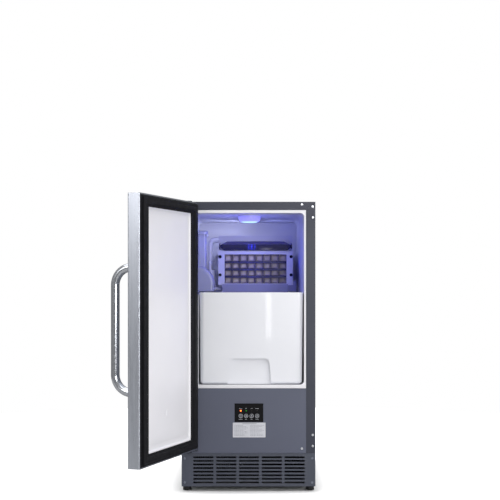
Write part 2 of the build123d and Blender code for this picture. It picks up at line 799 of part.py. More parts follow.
def edge_notch(edge, x, z):
    """Cutter for a round hole at x with a slot running out to the edge."""
    left, right = sorted((edge, x))
    hole = rod_y(NOTCH_R, x, FRAME_FRONT - 1, FRAME_BACK, z)
    return hole + block(left, right, FRAME_FRONT - 1, FRAME_BACK, z - NOTCH_R + 2, z + NOTCH_R - 2)


def evaporator_frame():
    """Moulded frame round the freezing plate, with side walls back to the liner and a rear plate."""
    ring = rectangle(FRAME_LEFT, FRAME_RIGHT, FRAME_BOTTOM, FRAME_TOP)
    ring -= rectangle(GRID_LEFT, GRID_RIGHT, GRID_BOTTOM, GRID_TOP)
    frame = front_plate(ring, FRAME_FRONT, FRAME_BACK)
    rear = rectangle(FRAME_LEFT, FRAME_RIGHT, FRAME_BOTTOM, HOUSING_TOP)
    frame += front_plate(rear, HOUSING_Y, HOUSING_Y + 3)
    for x in (FRAME_LEFT, FRAME_RIGHT - 2.5):
        frame += block(x, x + 2.5, FRAME_FRONT, CAVITY_BACK, FRAME_BOTTOM, FRAME_TOP)
        frame += block(x, x + 2.5, SPRAY_Y - 9, SPRAY_Y + 9, FRAME_TOP, SPRAY_Z + 8)
        frame -= rod_x(SPRAY_R, x - 1, x + 4, SPRAY_Y, SPRAY_Z)
    for z in NOTCH_Z:
        frame -= edge_notch(FRAME_LEFT - 1, FRAME_LEFT + NOTCH_INSET, z)
        frame -= edge_notch(FRAME_RIGHT + 1, FRAME_RIGHT - NOTCH_INSET, z)
    for z in (COIL_ROWS[0], COIL_ROWS[-1]):
        frame -= rod_y(COIL_R + 0.5, COIL_TAIL_X, HOUSING_Y - 1, HOUSING_Y + 4, z)
    frame -= rod_y(5.5, FEED_X, HOUSING_Y - 1, HOUSING_Y + 4, SPRAY_Z)
    return frame


def evaporator_grid():
    """Freezing plate with leaning shelves and upright fins that part the ice into cubes."""
    column = (GRID_RIGHT - GRID_LEFT) / GRID_COLUMNS
    row = (GRID_TOP - GRID_BOTTOM) / GRID_ROWS
    middle_x = (GRID_LEFT + GRID_RIGHT) / 2
    middle_y = (GRID_FRONT + GRID_BACK) / 2
    depth = GRID_BACK - GRID_FRONT
    grid = block(GRID_LEFT - 4, GRID_RIGHT + 4, GRID_BACK, GRID_BACK + 2.5, GRID_BOTTOM - 4, GRID_TOP + 4)
    for i in range(1, GRID_COLUMNS):
        x = GRID_LEFT + i * column
        grid += block(x - 0.5, x + 0.5, GRID_FRONT + 1, GRID_BACK, GRID_BOTTOM + 0.4, GRID_TOP - 0.4)
    for i in range(1, GRID_ROWS):
        z = GRID_BOTTOM + i * row
        shelf = Box(GRID_RIGHT - GRID_LEFT - 0.8, depth + 1.2, 1.4)
        grid += Pos(middle_x, middle_y + 0.6, z) * Rot(GRID_LEAN, 0, 0) * shelf
    return grid


def evaporator_coil():
    """Copper serpentine on the back of the freezing plate, with two tails to the rear wall."""
    low, high = COIL_ROWS[0], COIL_ROWS[-1]
    points = [(COIL_TAIL_X, CAVITY_BACK, low), (COIL_TAIL_X, COIL_Y, low)]
    for i, z in enumerate(COIL_ROWS[:-1]):
        bend = COIL_RIGHT if i % 2 else COIL_LEFT
        points += [(bend, COIL_Y, z), (bend, COIL_Y, COIL_ROWS[i + 1])]
    points += [(COIL_TAIL_X, COIL_Y, high), (COIL_TAIL_X, CAVITY_BACK, high)]
    return pipe(points, 9.0, COIL_R)


def water_distributor():
    """Spray tube over the freezing plate, fed from behind."""
    tube = rod_x(SPRAY_R, FRAME_LEFT, FRAME_RIGHT, SPRAY_Y, SPRAY_Z)
    tube -= rod_x(SPRAY_R - 1.4, FRAME_LEFT + 2, FRAME_RIGHT - 2, SPRAY_Y, SPRAY_Z)
    feed = rod_y(5, FEED_X, SPRAY_Y, HOUSING_Y + 8, SPRAY_Z)
    feed -= rod_x(SPRAY_R - 0.2, FRAME_LEFT, FRAME_RIGHT, SPRAY_Y, SPRAY_Z)
    tube += feed
    tube -= rod_y(3.4, FEED_X, SPRAY_Y, HOUSING_Y + 9, SPRAY_Z)
    for i in range(2 * GRID_COLUMNS):
        x = GRID_LEFT + (i + 0.5) * (GRID_RIGHT - GRID_LEFT) / (2 * GRID_COLUMNS)
        tube -= rod_z(1, x, SPRAY_Y, SPRAY_Z - 9, SPRAY_Z)
    return tube


def hood_form(inset):
    """Bevelled hood: its end view along X, cut to its front outline."""
    y0 = SPRAY_Y - HOOD_FRONT + inset
    y1 = SPRAY_Y + 3
    z0 = SPRAY_Z - HOOD_DROP
    z1 = SPRAY_Z + HOOD_RISE - inset
    profile = polygon((y0, z0), (y1, z0), (y1, z1), (y0 + 11, z1), (y0, z1 - 10))
    bar = side_plate(profile, HOOD_LEFT + inset, HOOD_RIGHT - inset)
    silhouette = polygon(
        (HOOD_LEFT + inset, SPRAY_Z + 2),
        (HOOD_LEFT + HOOD_SHOULDER + inset, SPRAY_Z + HOOD_RISE - inset),
        (HOOD_RIGHT - HOOD_SHOULDER - inset, SPRAY_Z + HOOD_RISE - inset),
        (HOOD_RIGHT - inset, SPRAY_Z + 2),
        (HOOD_RIGHT - inset, SPRAY_Z - 4),
        (HOOD_RIGHT - 6 - inset, SPRAY_Z - HOOD_DROP - 1),
        (HOOD_LEFT + 6 + inset, SPRAY_Z - HOOD_DROP - 1),
        (HOOD_LEFT + inset, SPRAY_Z - 4),
    )
    return bar & front_plate(silhouette, y0 - 1, y1 + 1)


def distributor_cover():
    cover = hood_form(0)
    hollow = hood_form(HOOD_WALL)
    front = SPRAY_Y - HOOD_FRONT + HOOD_WALL
    hollow += block(HOOD_LEFT + 9, HOOD_RIGHT - 9, front, SPRAY_Y + 4, SPRAY_Z - HOOD_DROP - 1, SPRAY_Z - 2)
    cover -= hollow
    for x in (HOOD_LEFT - 3, HOOD_RIGHT):
        cover += rod_x(EAR_R, x, x + 3, SPRAY_Y, SPRAY_Z)
    cover += rod_x(EAR_R, HOOD_LEFT, HOOD_LEFT + HOOD_WALL, SPRAY_Y, SPRAY_Z)
    cover += rod_x(EAR_R, HOOD_RIGHT - HOOD_WALL, HOOD_RIGHT, SPRAY_Y, SPRAY_Z)
    return cover - rod_x(SPRAY_R + 0.08, HOOD_LEFT - 4, HOOD_RIGHT + 4, SPRAY_Y, SPRAY_Z)


def water_trough():
    """Open sump under the freezing plate, with hangers, a float stem and an end bracket."""
    wall = TROUGH_WALL
    trough = block(TROUGH_LEFT, TROUGH_RIGHT, TROUGH_FRONT, TROUGH_BACK, TROUGH_BOTTOM, TROUGH_RIM)
    trough -= block(
        TROUGH_LEFT + wall,
        TROUGH_RIGHT - wall,
        TROUGH_FRONT + wall,
        TROUGH_BACK - wall,
        TROUGH_BOTTOM + wall,
        TROUGH_RIM + 1,
    )
    trough += block(TROUGH_LEFT, TROUGH_RIGHT, TROUGH_FRONT, TROUGH_FRONT + wall, TROUGH_RIM, TROUGH_LIP)
    for x in (TROUGH_LEFT, TROUGH_RIGHT - wall):
        trough += block(x, x + wall, FRAME_FRONT, FRAME_BACK, TROUGH_RIM, FRAME_BOTTOM)
    bracket = block(TROUGH_RIGHT, 146, 290, 316, 560, FRAME_BOTTOM)
    bracket += block(FRAME_RIGHT + 0.5, 146, 290, 316, FRAME_BOTTOM, 592)
    trough += bracket - block(TROUGH_RIGHT + wall, 143, 292, 314, 562, 576)
    return trough + rod_z(1.9, FLOAT_X, FLOAT_Y, TROUGH_BOTTOM + wall, TROUGH_RIM)


def float_ring():
    ring = rod_z(8.5, FLOAT_X, FLOAT_Y, TROUGH_BOTTOM + TROUGH_WALL + 0.4, TROUGH_BOTTOM + 12)
    return ring - rod_z(1.98, FLOAT_X, FLOAT_Y, TROUGH_BOTTOM, TROUGH_RIM)


def circulation_pump():
    pump = rod_z(PUMP_R, PUMP_X, PUMP_Y, 562, 580)
    pump += rod_z(PUMP_R - 3, PUMP_X, PUMP_Y, 580, 626)
    pump += rod_z(5, PUMP_X + HOSE_DX, PUMP_Y + 6, 626, 634)
    pump += rod_x(4.5, PUMP_X, TROUGH_LEFT, TROUGH_BACK - 9, 568)
    return pump + block(-CAVITY_X, PUMP_X, PUMP_Y - 8, PUMP_Y + 8, 600, 604)


def pump_hose():
    """Hose from the pump to the distributor's feed, with a sleeve round its first elbow."""
    x, y = PUMP_X + HOSE_DX, PUMP_Y + 6
    feed_y = HOUSING_Y + 18
    turn = (x, y, HOSE_TOP)
    points = [(x, y, 634), turn, (FEED_X, feed_y, HOSE_TOP)]
    points += [(FEED_X, feed_y, SPRAY_Z), (FEED_X, HOUSING_Y + 8, SPRAY_Z)]
    share = 24 / (FEED_X - x)
    sleeve_end = (x + 24, y + share * (feed_y - y), HOSE_TOP)
    sleeve = pipe([(x, y, 681), turn, sleeve_end], 14.0, 7.8)
    return pipe(points, [14.0, 8.0, 5.5], 5.2) + sleeve


# ---------------------------------------------------------------- machine compartment


def condenser():
    """Fin-and-tube condenser between two end plates."""
    front, back = CONDENSER_FRONT, CONDENSER_BACK
    low, high = BASE_Z + 1.5, CONDENSER_TOP
    pack = block(CONDENSER_LEFT, CONDENSER_LEFT + 1.5, front, back, low, high)
    pack += block(CONDENSER_RIGHT - 1.5, CONDENSER_RIGHT, front, back, low, high)
    pitch = (CONDENSER_RIGHT - CONDENSER_LEFT) / (CONDENSER_FINS + 1)
    for i in range(CONDENSER_FINS):
        x = CONDENSER_LEFT + (i + 1) * pitch
        pack += block(x - 0.5, x + 0.5, front + 1, back - 1, CONDENSER_BOTTOM, high - 2)
    for z in CONDENSER_ROWS:
        for y in (front + CONDENSER_INSET, back - CONDENSER_INSET):
            pack += rod_x(4, CONDENSER_LEFT - 4, CONDENSER_RIGHT + 4, y, z)
    return pack


def fan_shroud():
    y0 = CONDENSER_BACK + 0.5
    plate = front_plate(rectangle(CONDENSER_LEFT, CONDENSER_RIGHT, BASE_Z + 1.5, CONDENSER_TOP), y0, y0 + 2)
    plate += rod_y(FAN_R + 7, FAN_X, y0, y0 + 22, FAN_Z)
    return plate - rod_y(FAN_R + 4, FAN_X, y0 - 1, y0 + 23, FAN_Z)


def fan_motor():
    """Motor on three arms across the shroud, with its shaft towards the condenser."""
    front = FAN_MOTOR_FRONT
    motor = rod_y(30, FAN_X, front, FAN_MOTOR_BACK, FAN_Z)
    motor = fillet(motor.edges().group_by(Axis.Y)[-1], 4)
    motor += rod_y(FAN_SHAFT_R, FAN_X, front - 28, front, FAN_Z)
    arm = block(20, FAN_R + 6.5, front, front + 4, -4, 4)
    arm += block(FAN_R + 4.5, FAN_R + 6.8, CONDENSER_BACK + 22.5, front + 4, -4, 4)
    for turn in (30, 150, 270):
        motor += Pos(FAN_X, 0, FAN_Z) * Rot(0, turn, 0) * arm
    return motor


def fan_rotor():
    """Hub and five pitched blades, pressed by its bore on the motor shaft."""
    back = FAN_MOTOR_FRONT - 8
    front = back - 18
    hub = rod_y(17, 0, front, back, 0)
    blade = Pos(38, (front + back) / 2, 0) * Rot(FAN_PITCH_ANGLE, 0, 0) * Box(46, 1.6, 26)
    ring = rod_y(FAN_R - 2, 0, front - 18, back + 14, 0)
    blades = Part()
    for i in range(FAN_BLADES):
        blades += Rot(0, 360 / FAN_BLADES * i, 0) * blade
    rotor = hub + (blades & ring)
    return Pos(FAN_X, 0, FAN_Z) * (rotor - rod_y(FAN_SHAFT_R + 0.04, 0, front - 8, back + 4, 0))


def compressor():
    """Hermetic shell on a foot plate with four rubber feet."""
    x, y = COMPRESSOR_X, COMPRESSOR_Y
    low, high = COMPRESSOR_BOTTOM, COMPRESSOR_TOP
    shell = rod_z(COMPRESSOR_R, x, y, low, high)
    shell = fillet(shell.edges().group_by(Axis.Z)[-1], 34)
    shell = fillet(shell.edges().group_by(Axis.Z)[0], 14)
    shell += rod_z(COMPRESSOR_R + 2.5, x, y, low + 60, low + 66)
    plate = block(x - 82, x + 82, y - 60, y + 60, low - 6, low)
    shell += block(x - 60, x + 60, y - 45, y + 45, low - 4, low + 16) + plate
    shell += block(x + COMPRESSOR_R - 6, x + COMPRESSOR_R + 20, y - 22, y + 22, low + 66, low + 106)
    shell -= rod_z(COMPRESSOR_R - 14, x, y, low + 14, high - 16)
    corners = [(x + sx * 72, y + sy * 48) for sx in (-1, 1) for sy in (-1, 1)]
    feet = [rod_z(9, *corner, BASE_Z + 1.5, low - 6) for corner in corners]
    return [shell] + feet


def filter_drier():
    capsule = rod_y(9, DRIER_X, DRIER_FRONT, DRIER_BACK, DRIER_Z)
    return fillet(capsule.edges().filter_by(GeomType.CIRCLE), 6)


def refrigerant_lines():
    """Discharge, liquid and suction tubes."""
    inlet_y = CONDENSER_FRONT + CONDENSER_INSET
    outlet_y = CONDENSER_BACK - CONDENSER_INSET
    inlet_z, outlet_z = CONDENSER_ROWS[-1], CONDENSER_ROWS[0]
    discharge = [
        (COMPRESSOR_X, COMPRESSOR_Y - 50, COMPRESSOR_TOP + 0.5),
        (COMPRESSOR_X, COMPRESSOR_Y - 50, 225),
        (COMPRESSOR_X, 200, 225),
        (CONDENSER_RIGHT + 16, inlet_y, inlet_z),
        (CONDENSER_RIGHT + 4, inlet_y, inlet_z),
    ]
    liquid = [
        (CONDENSER_LEFT - 4, outlet_y, outlet_z),
        (CONDENSER_LEFT - 16, outlet_y, outlet_z),
        (CONDENSER_LEFT - 16, 200, DRIER_Z),
        (DRIER_X, 200, DRIER_Z),
        (DRIER_X, DRIER_FRONT, DRIER_Z),
    ]
    suction = [
        (DRIER_X, DRIER_BACK, DRIER_Z),
        (DRIER_X, DRIER_BACK + 30, DRIER_Z),
        (DRIER_X, 440, 200),
        (-60, 440, 240),
        (-60, 440, DECK_Z),
    ]
    return [
        pipe(discharge, [20.0, 30.0, 8.0], 3.2),
        pipe(liquid, [10.0, 15.0, 12.0], 3.0),
        pipe(suction, [12.0, 20.0, 12.0], 3.0),
    ]


def inlet_valve():
    """Water inlet valve with its hose thread through the rear panel."""
    body = block(VALVE_X - 18, VALVE_X + 18, 520, DEPTH - SHEET, VALVE_Z - 16, VALVE_Z + 16)
    coil = rod_z(13, VALVE_X, 534, VALVE_Z + 16, VALVE_Z + 46)
    boss = rod_y(THREAD_R + 0.3, VALVE_X, DEPTH - SHEET, DEPTH + 0.5, VALVE_Z)
    thread = rod_y(THREAD_R, VALVE_X, DEPTH + 0.5, DEPTH + 15, VALVE_Z)
    thread = chamfer(thread.edges().group_by(Axis.Y)[-1], 1)
    return body + coil + boss + thread - rod_y(8, VALVE_X, DEPTH, DEPTH + 16, VALVE_Z)


def drain_fitting():
    """Hose barb for the gravity drain, fed by a pipe from the compartment floor."""
    barb = rod_y(DRAIN_R + 0.3, DRAIN_X, 530, DEPTH + 1, DRAIN_Z)
    barb += rod_y(DRAIN_R, DRAIN_X, DEPTH + 1, DEPTH + 20, DRAIN_Z)
    flange = rod_y(13, DRAIN_X, DEPTH - SHEET - 4, DEPTH - SHEET, DRAIN_Z)
    pipe_down = rod_z(7, DRAIN_X, 505, DRAIN_Z, DECK_Z)
    neck = rod_y(7, DRAIN_X, 505, 530, DRAIN_Z)
    barb = barb + flange + pipe_down + neck
    return barb - rod_y(5, DRAIN_X, 515, DEPTH + 21, DRAIN_Z)


def cord_gland():
    gland = rod_y(GLAND_BORE_R + 4, GLAND_X, DEPTH - 10, DEPTH, GLAND_Z)
    gland += rod_y(GLAND_BORE_R + 7, GLAND_X, DEPTH, DEPTH + 5, GLAND_Z)
    return gland - rod_y(GLAND_BORE_R, GLAND_X, DEPTH - 11, DEPTH + 6, GLAND_Z)


# ---------------------------------------------------------------- write the parts


def write_cabinet():
    right = side_panel()
    save("side_panel_right", right)
    save("side_panel_left", mirrored(right))
    save("top_panel", top_panel())
    save("rear_panel", rear_panel())
    save("base_pan", base_pan())
    save("leg_sockets", *[leg_socket(x, y) for x, y in leg_places()])
    for name, place in zip(("front_left", "front_right", "rear_left", "rear_right"), leg_places()):
        save(f"leg_{name}", leg(*place))
    save("compartment_deck", compartment_deck())
    save("insulation_foam", insulation_foam())
    save("inner_liner", inner_liner())
    save("liner_trim", liner_trim())


def write_front():
    xs = button_xs()
    save("control_panel", control_panel())
    save("display_window", display_window())
    save("control_board", control_board())
    save("indicator_lenses", *[rod_y(LED_R, x, -0.8, WINDOW_LIP, LED_Z) for x in xs])
    label = block(LABEL_LEFT, LABEL_RIGHT, -LABEL_THICKNESS, 0, LABEL_BOTTOM, LABEL_TOP)
    save("instruction_label", label)
    for i, x in enumerate(xs):
        save(f"button_{i + 1}", button(x))
    save("grille", grille())
    places = [(side * GRILLE_SCREW_X, z) for side in (-1, 1) for z in GRILLE_SCREW_Z]
    save("grille_screws", *[screw(x, z, 0) for x, z in places])
    save("flange_screws", *flange_screws())
    upper = hinge_bracket(HEIGHT, GASKET_TOP + 0.8, 760, HEIGHT - TAB, HEIGHT)
    foot = BRACKET_FOOT
    save("hinge_bracket_upper", upper)
    save("hinge_bracket_lower", hinge_bracket(foot, GASKET_BOTTOM - 0.6, 166, foot, foot + TAB))
    save("hinge_pins", *hinge_pins())


def write_door():
    save("door_skin", swing_open(door_skin()))
    save("door_foam", swing_open(door_foam()))
    save("door_liner", swing_open(door_liner()))
    save("door_gasket", swing_open(door_gasket()))
    save("door_handle", swing_open(door_handle()))
    save("door_bushes", *[swing_open(bush) for bush in door_bushes()])


def write_compartment():
    save("ice_bin", ice_bin())
    save("ice_scoop", ice_scoop())
    save("scoop_holder", scoop_holder())
    save("lamp_base", lamp_base())
    save("lamp_lens", lamp_lens())
    save("bin_sensor", bin_sensor())
    save("evaporator_frame", evaporator_frame())
    save("evaporator_grid", evaporator_grid())
    save("evaporator_coil", evaporator_coil())
    save("water_distributor", water_distributor())
    save("distributor_cover", distributor_cover())
    save("water_trough", water_trough())
    save("float_ring", float_ring())
    save("circulation_pump", circulation_pump())
    save("pump_hose", pump_hose())


def write_machinery():
    save("condenser", condenser())
    save("fan_shroud", fan_shroud())
    save("fan_motor", fan_motor())
    save("fan_rotor", fan_rotor())
    save("compressor", *compressor())
    save("filter_drier", filter_drier())
    save("refrigerant_lines", *refrigerant_lines())
    save("inlet_valve", inlet_valve())
    save("drain_fitting", drain_fitting())
    save("cord_gland", cord_gland())


os.makedirs("parts", exist_ok=True)
write_cabinet()
write_front()
write_door()
write_compartment()
write_machinery()
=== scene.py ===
import json
from math import cos, pi, radians, sin

import bmesh
import bpy
from mathutils import Matrix, Vector

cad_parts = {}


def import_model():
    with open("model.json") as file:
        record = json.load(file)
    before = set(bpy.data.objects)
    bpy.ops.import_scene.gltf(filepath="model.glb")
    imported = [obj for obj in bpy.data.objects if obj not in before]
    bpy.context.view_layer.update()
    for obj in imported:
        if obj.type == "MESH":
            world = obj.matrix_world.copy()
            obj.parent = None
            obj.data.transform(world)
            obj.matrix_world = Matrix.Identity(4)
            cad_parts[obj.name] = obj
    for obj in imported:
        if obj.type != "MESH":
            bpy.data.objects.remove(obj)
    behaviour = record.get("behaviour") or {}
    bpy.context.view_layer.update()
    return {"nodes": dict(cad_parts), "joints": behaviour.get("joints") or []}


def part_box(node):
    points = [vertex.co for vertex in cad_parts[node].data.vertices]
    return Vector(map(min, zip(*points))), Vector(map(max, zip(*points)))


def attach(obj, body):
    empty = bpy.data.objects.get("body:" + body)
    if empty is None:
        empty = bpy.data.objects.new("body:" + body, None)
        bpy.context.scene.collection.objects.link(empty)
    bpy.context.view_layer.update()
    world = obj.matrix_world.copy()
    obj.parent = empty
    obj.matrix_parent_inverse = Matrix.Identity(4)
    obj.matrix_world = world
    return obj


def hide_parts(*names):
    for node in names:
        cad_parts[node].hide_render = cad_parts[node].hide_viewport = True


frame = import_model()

MM = 0.001
scene = bpy.context.scene
nodes = frame["nodes"]
joints = {j["name"]: j for j in frame["joints"]}


# ------------------------------------------------------------------ frame helpers


def span(node):
    """A node's box at rest, in millimetres: (x0, x1, y0, y1, z0, z1)."""
    low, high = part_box(node)
    return [v / MM for pair in zip(low, high) for v in pair]


def door_turn():
    """The turn that carries the closed door to its rest pose, open on its hinge pins."""
    hinge = joints["door_hinge"]
    pin = Vector(hinge["pos_m"])
    closed = radians(hinge["range_deg"][0])
    turn = Matrix.Rotation(-closed, 4, Vector(hinge["axis"]))
    return Matrix.Translation(pin) @ turn @ Matrix.Translation(-pin)


DOOR_TURN = door_turn()


def closed_span(node):
    """A door node's box with the door closed, in millimetres."""
    back = DOOR_TURN.inverted()
    points = [back @ v.co for v in nodes[node].data.vertices]
    return [f(p[i] for p in points) / MM for i in range(3) for f in (min, max)]


# ------------------------------------------------------------------ mesh helpers


def finish_object(name, mesh, body, material, smooth_angle, replaces=()):
    """Puts a mesh in the scene as a finished piece that rides on a body."""
    obj = bpy.data.objects.new(name, mesh)
    scene.collection.objects.link(obj)
    mesh.materials.append(material)
    mesh.shade_smooth()
    mesh.set_sharp_from_angle(angle=radians(smooth_angle))
    if replaces:
        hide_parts(*replaces)
    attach(obj, body)
    return obj


def mesh_of(bm, turn=None):
    """Turns a bmesh in millimetres into a mesh in metres, turned into place."""
    bm.transform(Matrix.Scale(MM, 4))
    if turn is not None:
        bm.transform(turn)
    bmesh.ops.recalc_face_normals(bm, faces=bm.faces)
    mesh = bpy.data.meshes.new("mesh")
    bm.to_mesh(mesh)
    bm.free()
    return mesh


def add_loops(bm, loops, cap_start=False, cap_end=False):
    """Skins faces between successive closed rings of points."""
    rings = [[bm.verts.new(p) for p in loop] for loop in loops]
    for a, b in zip(rings, rings[1:]):
        for i in range(len(a)):
            j = (i + 1) % len(a)
            bm.faces.new((a[i], a[j], b[j], b[i]))
    if cap_start:
        bm.faces.new(rings[0][::-1])
    if cap_end:
        bm.faces.new(rings[-1])


def add_box(bm, x0, x1, y0, y1, z0, z1, bevel=0.0, segments=2):
    """A box between two corners, its edges bevelled if asked."""
    verts = bmesh.ops.create_cube(bm, size=1)["verts"]
    size = Vector((x1 - x0, y1 - y0, z1 - z0))
    centre = Vector((x0 + x1, y0 + y1, z0 + z1)) / 2
    for v in verts:
        v.co = Vector([v.co[i] * size[i] for i in range(3)]) + centre
    if bevel:
        edges = list({e for v in verts for e in v.link_edges})
        bmesh.ops.bevel(bm, geom=edges, offset=bevel, segments=segments, affect="EDGES", profile=0.5)


def add_lathe(bm, profile, centre, axis="Z", steps=48):
    """Turns (radius, height) points about an axis through centre."""
    rings = []
    for r, h in profile:
        ring = []
        for i in range(steps):
            a = 2 * pi * i / steps
            c, s = r * cos(a), r * sin(a)
            offset = {"Z": (c, s, h), "Y": (s, h, c), "X": (h, c, s)}[axis]
            ring.append(Vector(centre) + Vector(offset))
        rings.append(ring)
    add_loops(bm, rings, cap_start=True, cap_end=True)


def corner_points(x0, x1, z0, z1, radius, steps=6):
    """A rounded rectangle's outline, anticlockwise from its lower right corner."""
    points = []
    for cx, cz, start in (
        (x1 - radius, z0 + radius, -90),
        (x1 - radius, z1 - radius, 0),
        (x0 + radius, z1 - radius, 90),
        (x0 + radius, z0 + radius, 180),
    ):
        for i in range(steps + 1):
            a = radians(start + 90 * i / steps)
            points.append((cx + radius * cos(a), cz + radius * sin(a)))
    return points


def tube_mesh(name, points, radius, resolution, bevel, turn):
    """A round tube along a Bezier curve, from (point, left handle, right handle) in millimetres."""
    curve = bpy.data.curves.new(name, "CURVE")
    curve.dimensions = "3D"
    curve.bevel_depth = radius * MM
    curve.bevel_resolution = bevel
    curve.resolution_u = resolution
    curve.use_fill_caps = True
    spline = curve.splines.new("BEZIER")
    spline.bezier_points.add(len(points) - 1)
    for target, (co, left, right) in zip(spline.bezier_points, points):
        target.co = Vector(co) * MM
        target.handle_left = Vector(left) * MM
        target.handle_right = Vector(right) * MM
    holder = bpy.data.objects.new(name + "_curve", curve)
    scene.collection.objects.link(holder)
    mesh = bpy.data.meshes.new_from_object(holder.evaluated_get(bpy.context.evaluated_depsgraph_get()))
    bpy.data.objects.remove(holder)
    mesh.materials.clear()
    mesh.transform(turn)
    return mesh


def bend_points(path, radii):
    """Bezier points for a path of straight runs with a round bend of the given radius at each corner."""
    path = [Vector(p) for p in path]
    points = []
    for i, p in enumerate(path):
        if i in (0, len(path) - 1):
            near = path[1] if i == 0 else path[-2]
            third = (near - p) / 3
            points.append((p, p - third * 0.01, p + third * 0.01))
            continue
        before = (path[i - 1] - p).normalized()
        after = (path[i + 1] - p).normalized()
        half = before.angle(after) / 2
        reach = radii[i - 1] * cos(half) / sin(half)
        turn = pi - 2 * half
        handle = radii[i - 1] * 4 / 3 * sin(turn / 4) / cos(turn / 4)
        start, end = p + before * reach, p + after * reach
        points.append((start, start + before * handle, start - before * handle))
        points.append((end, end - after * handle, end + after * handle))
    return points


def soften_edges(obj, width, angle):
    """A small round-over, in millimetres, on edges sharper than an angle in degrees."""
    soften = obj.modifiers.new("soften", "BEVEL")
    soften.width = width * MM
    soften.segments = 2
    soften.limit_method = "ANGLE"
    soften.angle_limit = radians(angle)
    return soften


def keep(node, material, bevel):
    """A CAD node that stays: welded, its edges softened, with a finer material."""
    obj = nodes[node]
    obj.data.materials.clear()
    obj.data.materials.append(material)
    weld = obj.modifiers.new("weld", "WELD")
    weld.merge_threshold = 0.002 * MM
    if bevel:
        soften_edges(obj, bevel, 30).use_clamp_overlap = True
        obj.modifiers.new("even", "WEIGHTED_NORMAL").keep_sharp = True


# ------------------------------------------------------------------ materials


def srgb(r, g, b):
    """A display colour (0 to 255) as the linear colour that a shader takes."""
    linear = [c / 255 / 12.92 if c <= 10 else ((c / 255 + 0.055) / 1.055) ** 2.4 for c in (r, g, b)]
    return (*linear, 1.0)


def scaled(colour, factor):
    """A colour made darker or lighter, its alpha kept at 1."""
    return (*[min(1.0, c * factor) for c in colour[:3]], 1.0)


class Finish:
    """A Principled material built from noise in the object's own coordinates."""

    def __init__(self, name, colour, rough=0.4, metallic=0.0, **sockets):
        self.material = bpy.data.materials.new(name)
        self.material.use_nodes = True
        self.nodes = self.material.node_tree.nodes
        self.links = self.material.node_tree.links
        self.shader = self.nodes["Principled BSDF"]
        self.colour = colour
        self.shader.inputs["Base Color"].default_value = colour
        self.shader.inputs["Roughness"].default_value = rough
        self.shader.inputs["Metallic"].default_value = metallic
        for socket, value in sockets.items():
            self.shader.inputs[socket.replace("_", " ")].default_value = value
        self.rough = rough
        self.base = None
        self.coords = self.nodes.new("ShaderNodeTexCoord")

    def stretched(self, stretch):
        mapping = self.nodes.new("ShaderNodeMapping")
        mapping.inputs["Scale"].default_value = stretch
        self.links.new(self.coords.outputs["Object"], mapping.inputs["Vector"])
        return mapping.outputs["Vector"]

    def noise(self, scale, detail=3.0, stretch=(1, 1, 1)):
        texture = self.nodes.new("ShaderNodeTexNoise")
        texture.inputs["Scale"].default_value = scale
        texture.inputs["Detail"].default_value = detail
        self.links.new(self.stretched(stretch), texture.inputs["Vector"])
        return texture.outputs["Fac"]

    def ranged(self, value, low, high, start=0.3, stop=0.7):
        ranger = self.nodes.new("ShaderNodeMapRange")
        for socket, number in (("From Min", start), ("From Max", stop), ("To Min", low), ("To Max", high)):
            ranger.inputs[socket].default_value = number
        self.links.new(value, ranger.inputs["Value"])
        return ranger.outputs["Result"]

    def mix_colour(self, factor, other):
        mix = self.nodes.new("ShaderNodeMix")
        mix.data_type = "RGBA"
        if self.base is None:
            mix.inputs["A"].default_value = self.colour
        else:
            self.links.new(self.base, mix.inputs["A"])
        mix.inputs["B"].default_value = other
        self.links.new(factor, mix.inputs["Factor"])
        self.base = mix.outputs["Result"]
        self.links.new(self.base, self.shader.inputs["Base Color"])
        return self

    def above(self, height_mm, other):
        """Another colour above a height in the object, changing over a millimetre."""
        split = self.nodes.new("ShaderNodeSeparateXYZ")
        self.links.new(self.coords.outputs["Object"], split.inputs["Vector"])
        low, high = (height_mm - 0.5) * MM, (height_mm + 0.5) * MM
        return self.mix_colour(self.ranged(split.outputs["Z"], 0.0, 1.0, low, high), other)

    def mottle(self, scale, amount, detail=3.0, stretch=(1, 1, 1)):
        """Slow or fine change of shade, as a share of the base colour."""
        factor = self.ranged(self.noise(scale, detail, stretch), 0.0, 1.0)
        return self.mix_colour(factor, scaled(self.colour, 1 - amount))

    def vary_rough(self, scale, amount, detail=3.0, stretch=(1, 1, 1)):
        value = self.noise(scale, detail, stretch)
        out = self.ranged(value, max(0.02, self.rough - amount), min(1.0, self.rough + amount))
        self.links.new(out, self.shader.inputs["Roughness"])
        return self

    def bump(self, scale, depth_mm, detail=2.0, stretch=(1, 1, 1)):
        node = self.nodes.new("ShaderNodeBump")
        node.inputs["Distance"].default_value = depth_mm * MM
        node.inputs["Strength"].default_value = 1.0
        self.links.new(self.noise(scale, detail, stretch), node.inputs["Height"])
        self.links.new(node.outputs["Normal"], self.shader.inputs["Normal"])
        return self


def painted(name, colour, rough=0.42, tint=0.05):
    """Powder-coated sheet: a fine orange peel with slow shifts of gloss."""
    finish = Finish(name, colour, rough, Specular_IOR_Level=0.45)
    finish.mottle(9, tint).vary_rough(25, 0.03)
    return finish.bump(900, 0.03).material


def moulded(name, colour, rough=0.35, tint=0.03, grain=0.02, gloss_change=0.06, **sockets):
    """Moulded plastic: nearly smooth, with flow marks and a faint grain."""
    finish = Finish(name, colour, rough, **sockets)
    finish.mottle(7, tint).vary_rough(18, gloss_change)
    return finish.bump(700, grain, stretch=(1, 1, 0.6)).material


def brushed(name, colour, rough, stretch, streak=0.10, depth=0.004):
    """Brushed metal: long streaks along one direction in shade, gloss and height."""
    finish = Finish(name, colour, rough, 1.0)
    finish.mottle(1.0, streak, 4.0, stretch).vary_rough(1.3, 0.08, 4.0, stretch)
    return finish.bump(1.0, depth, 3.0, stretch).material


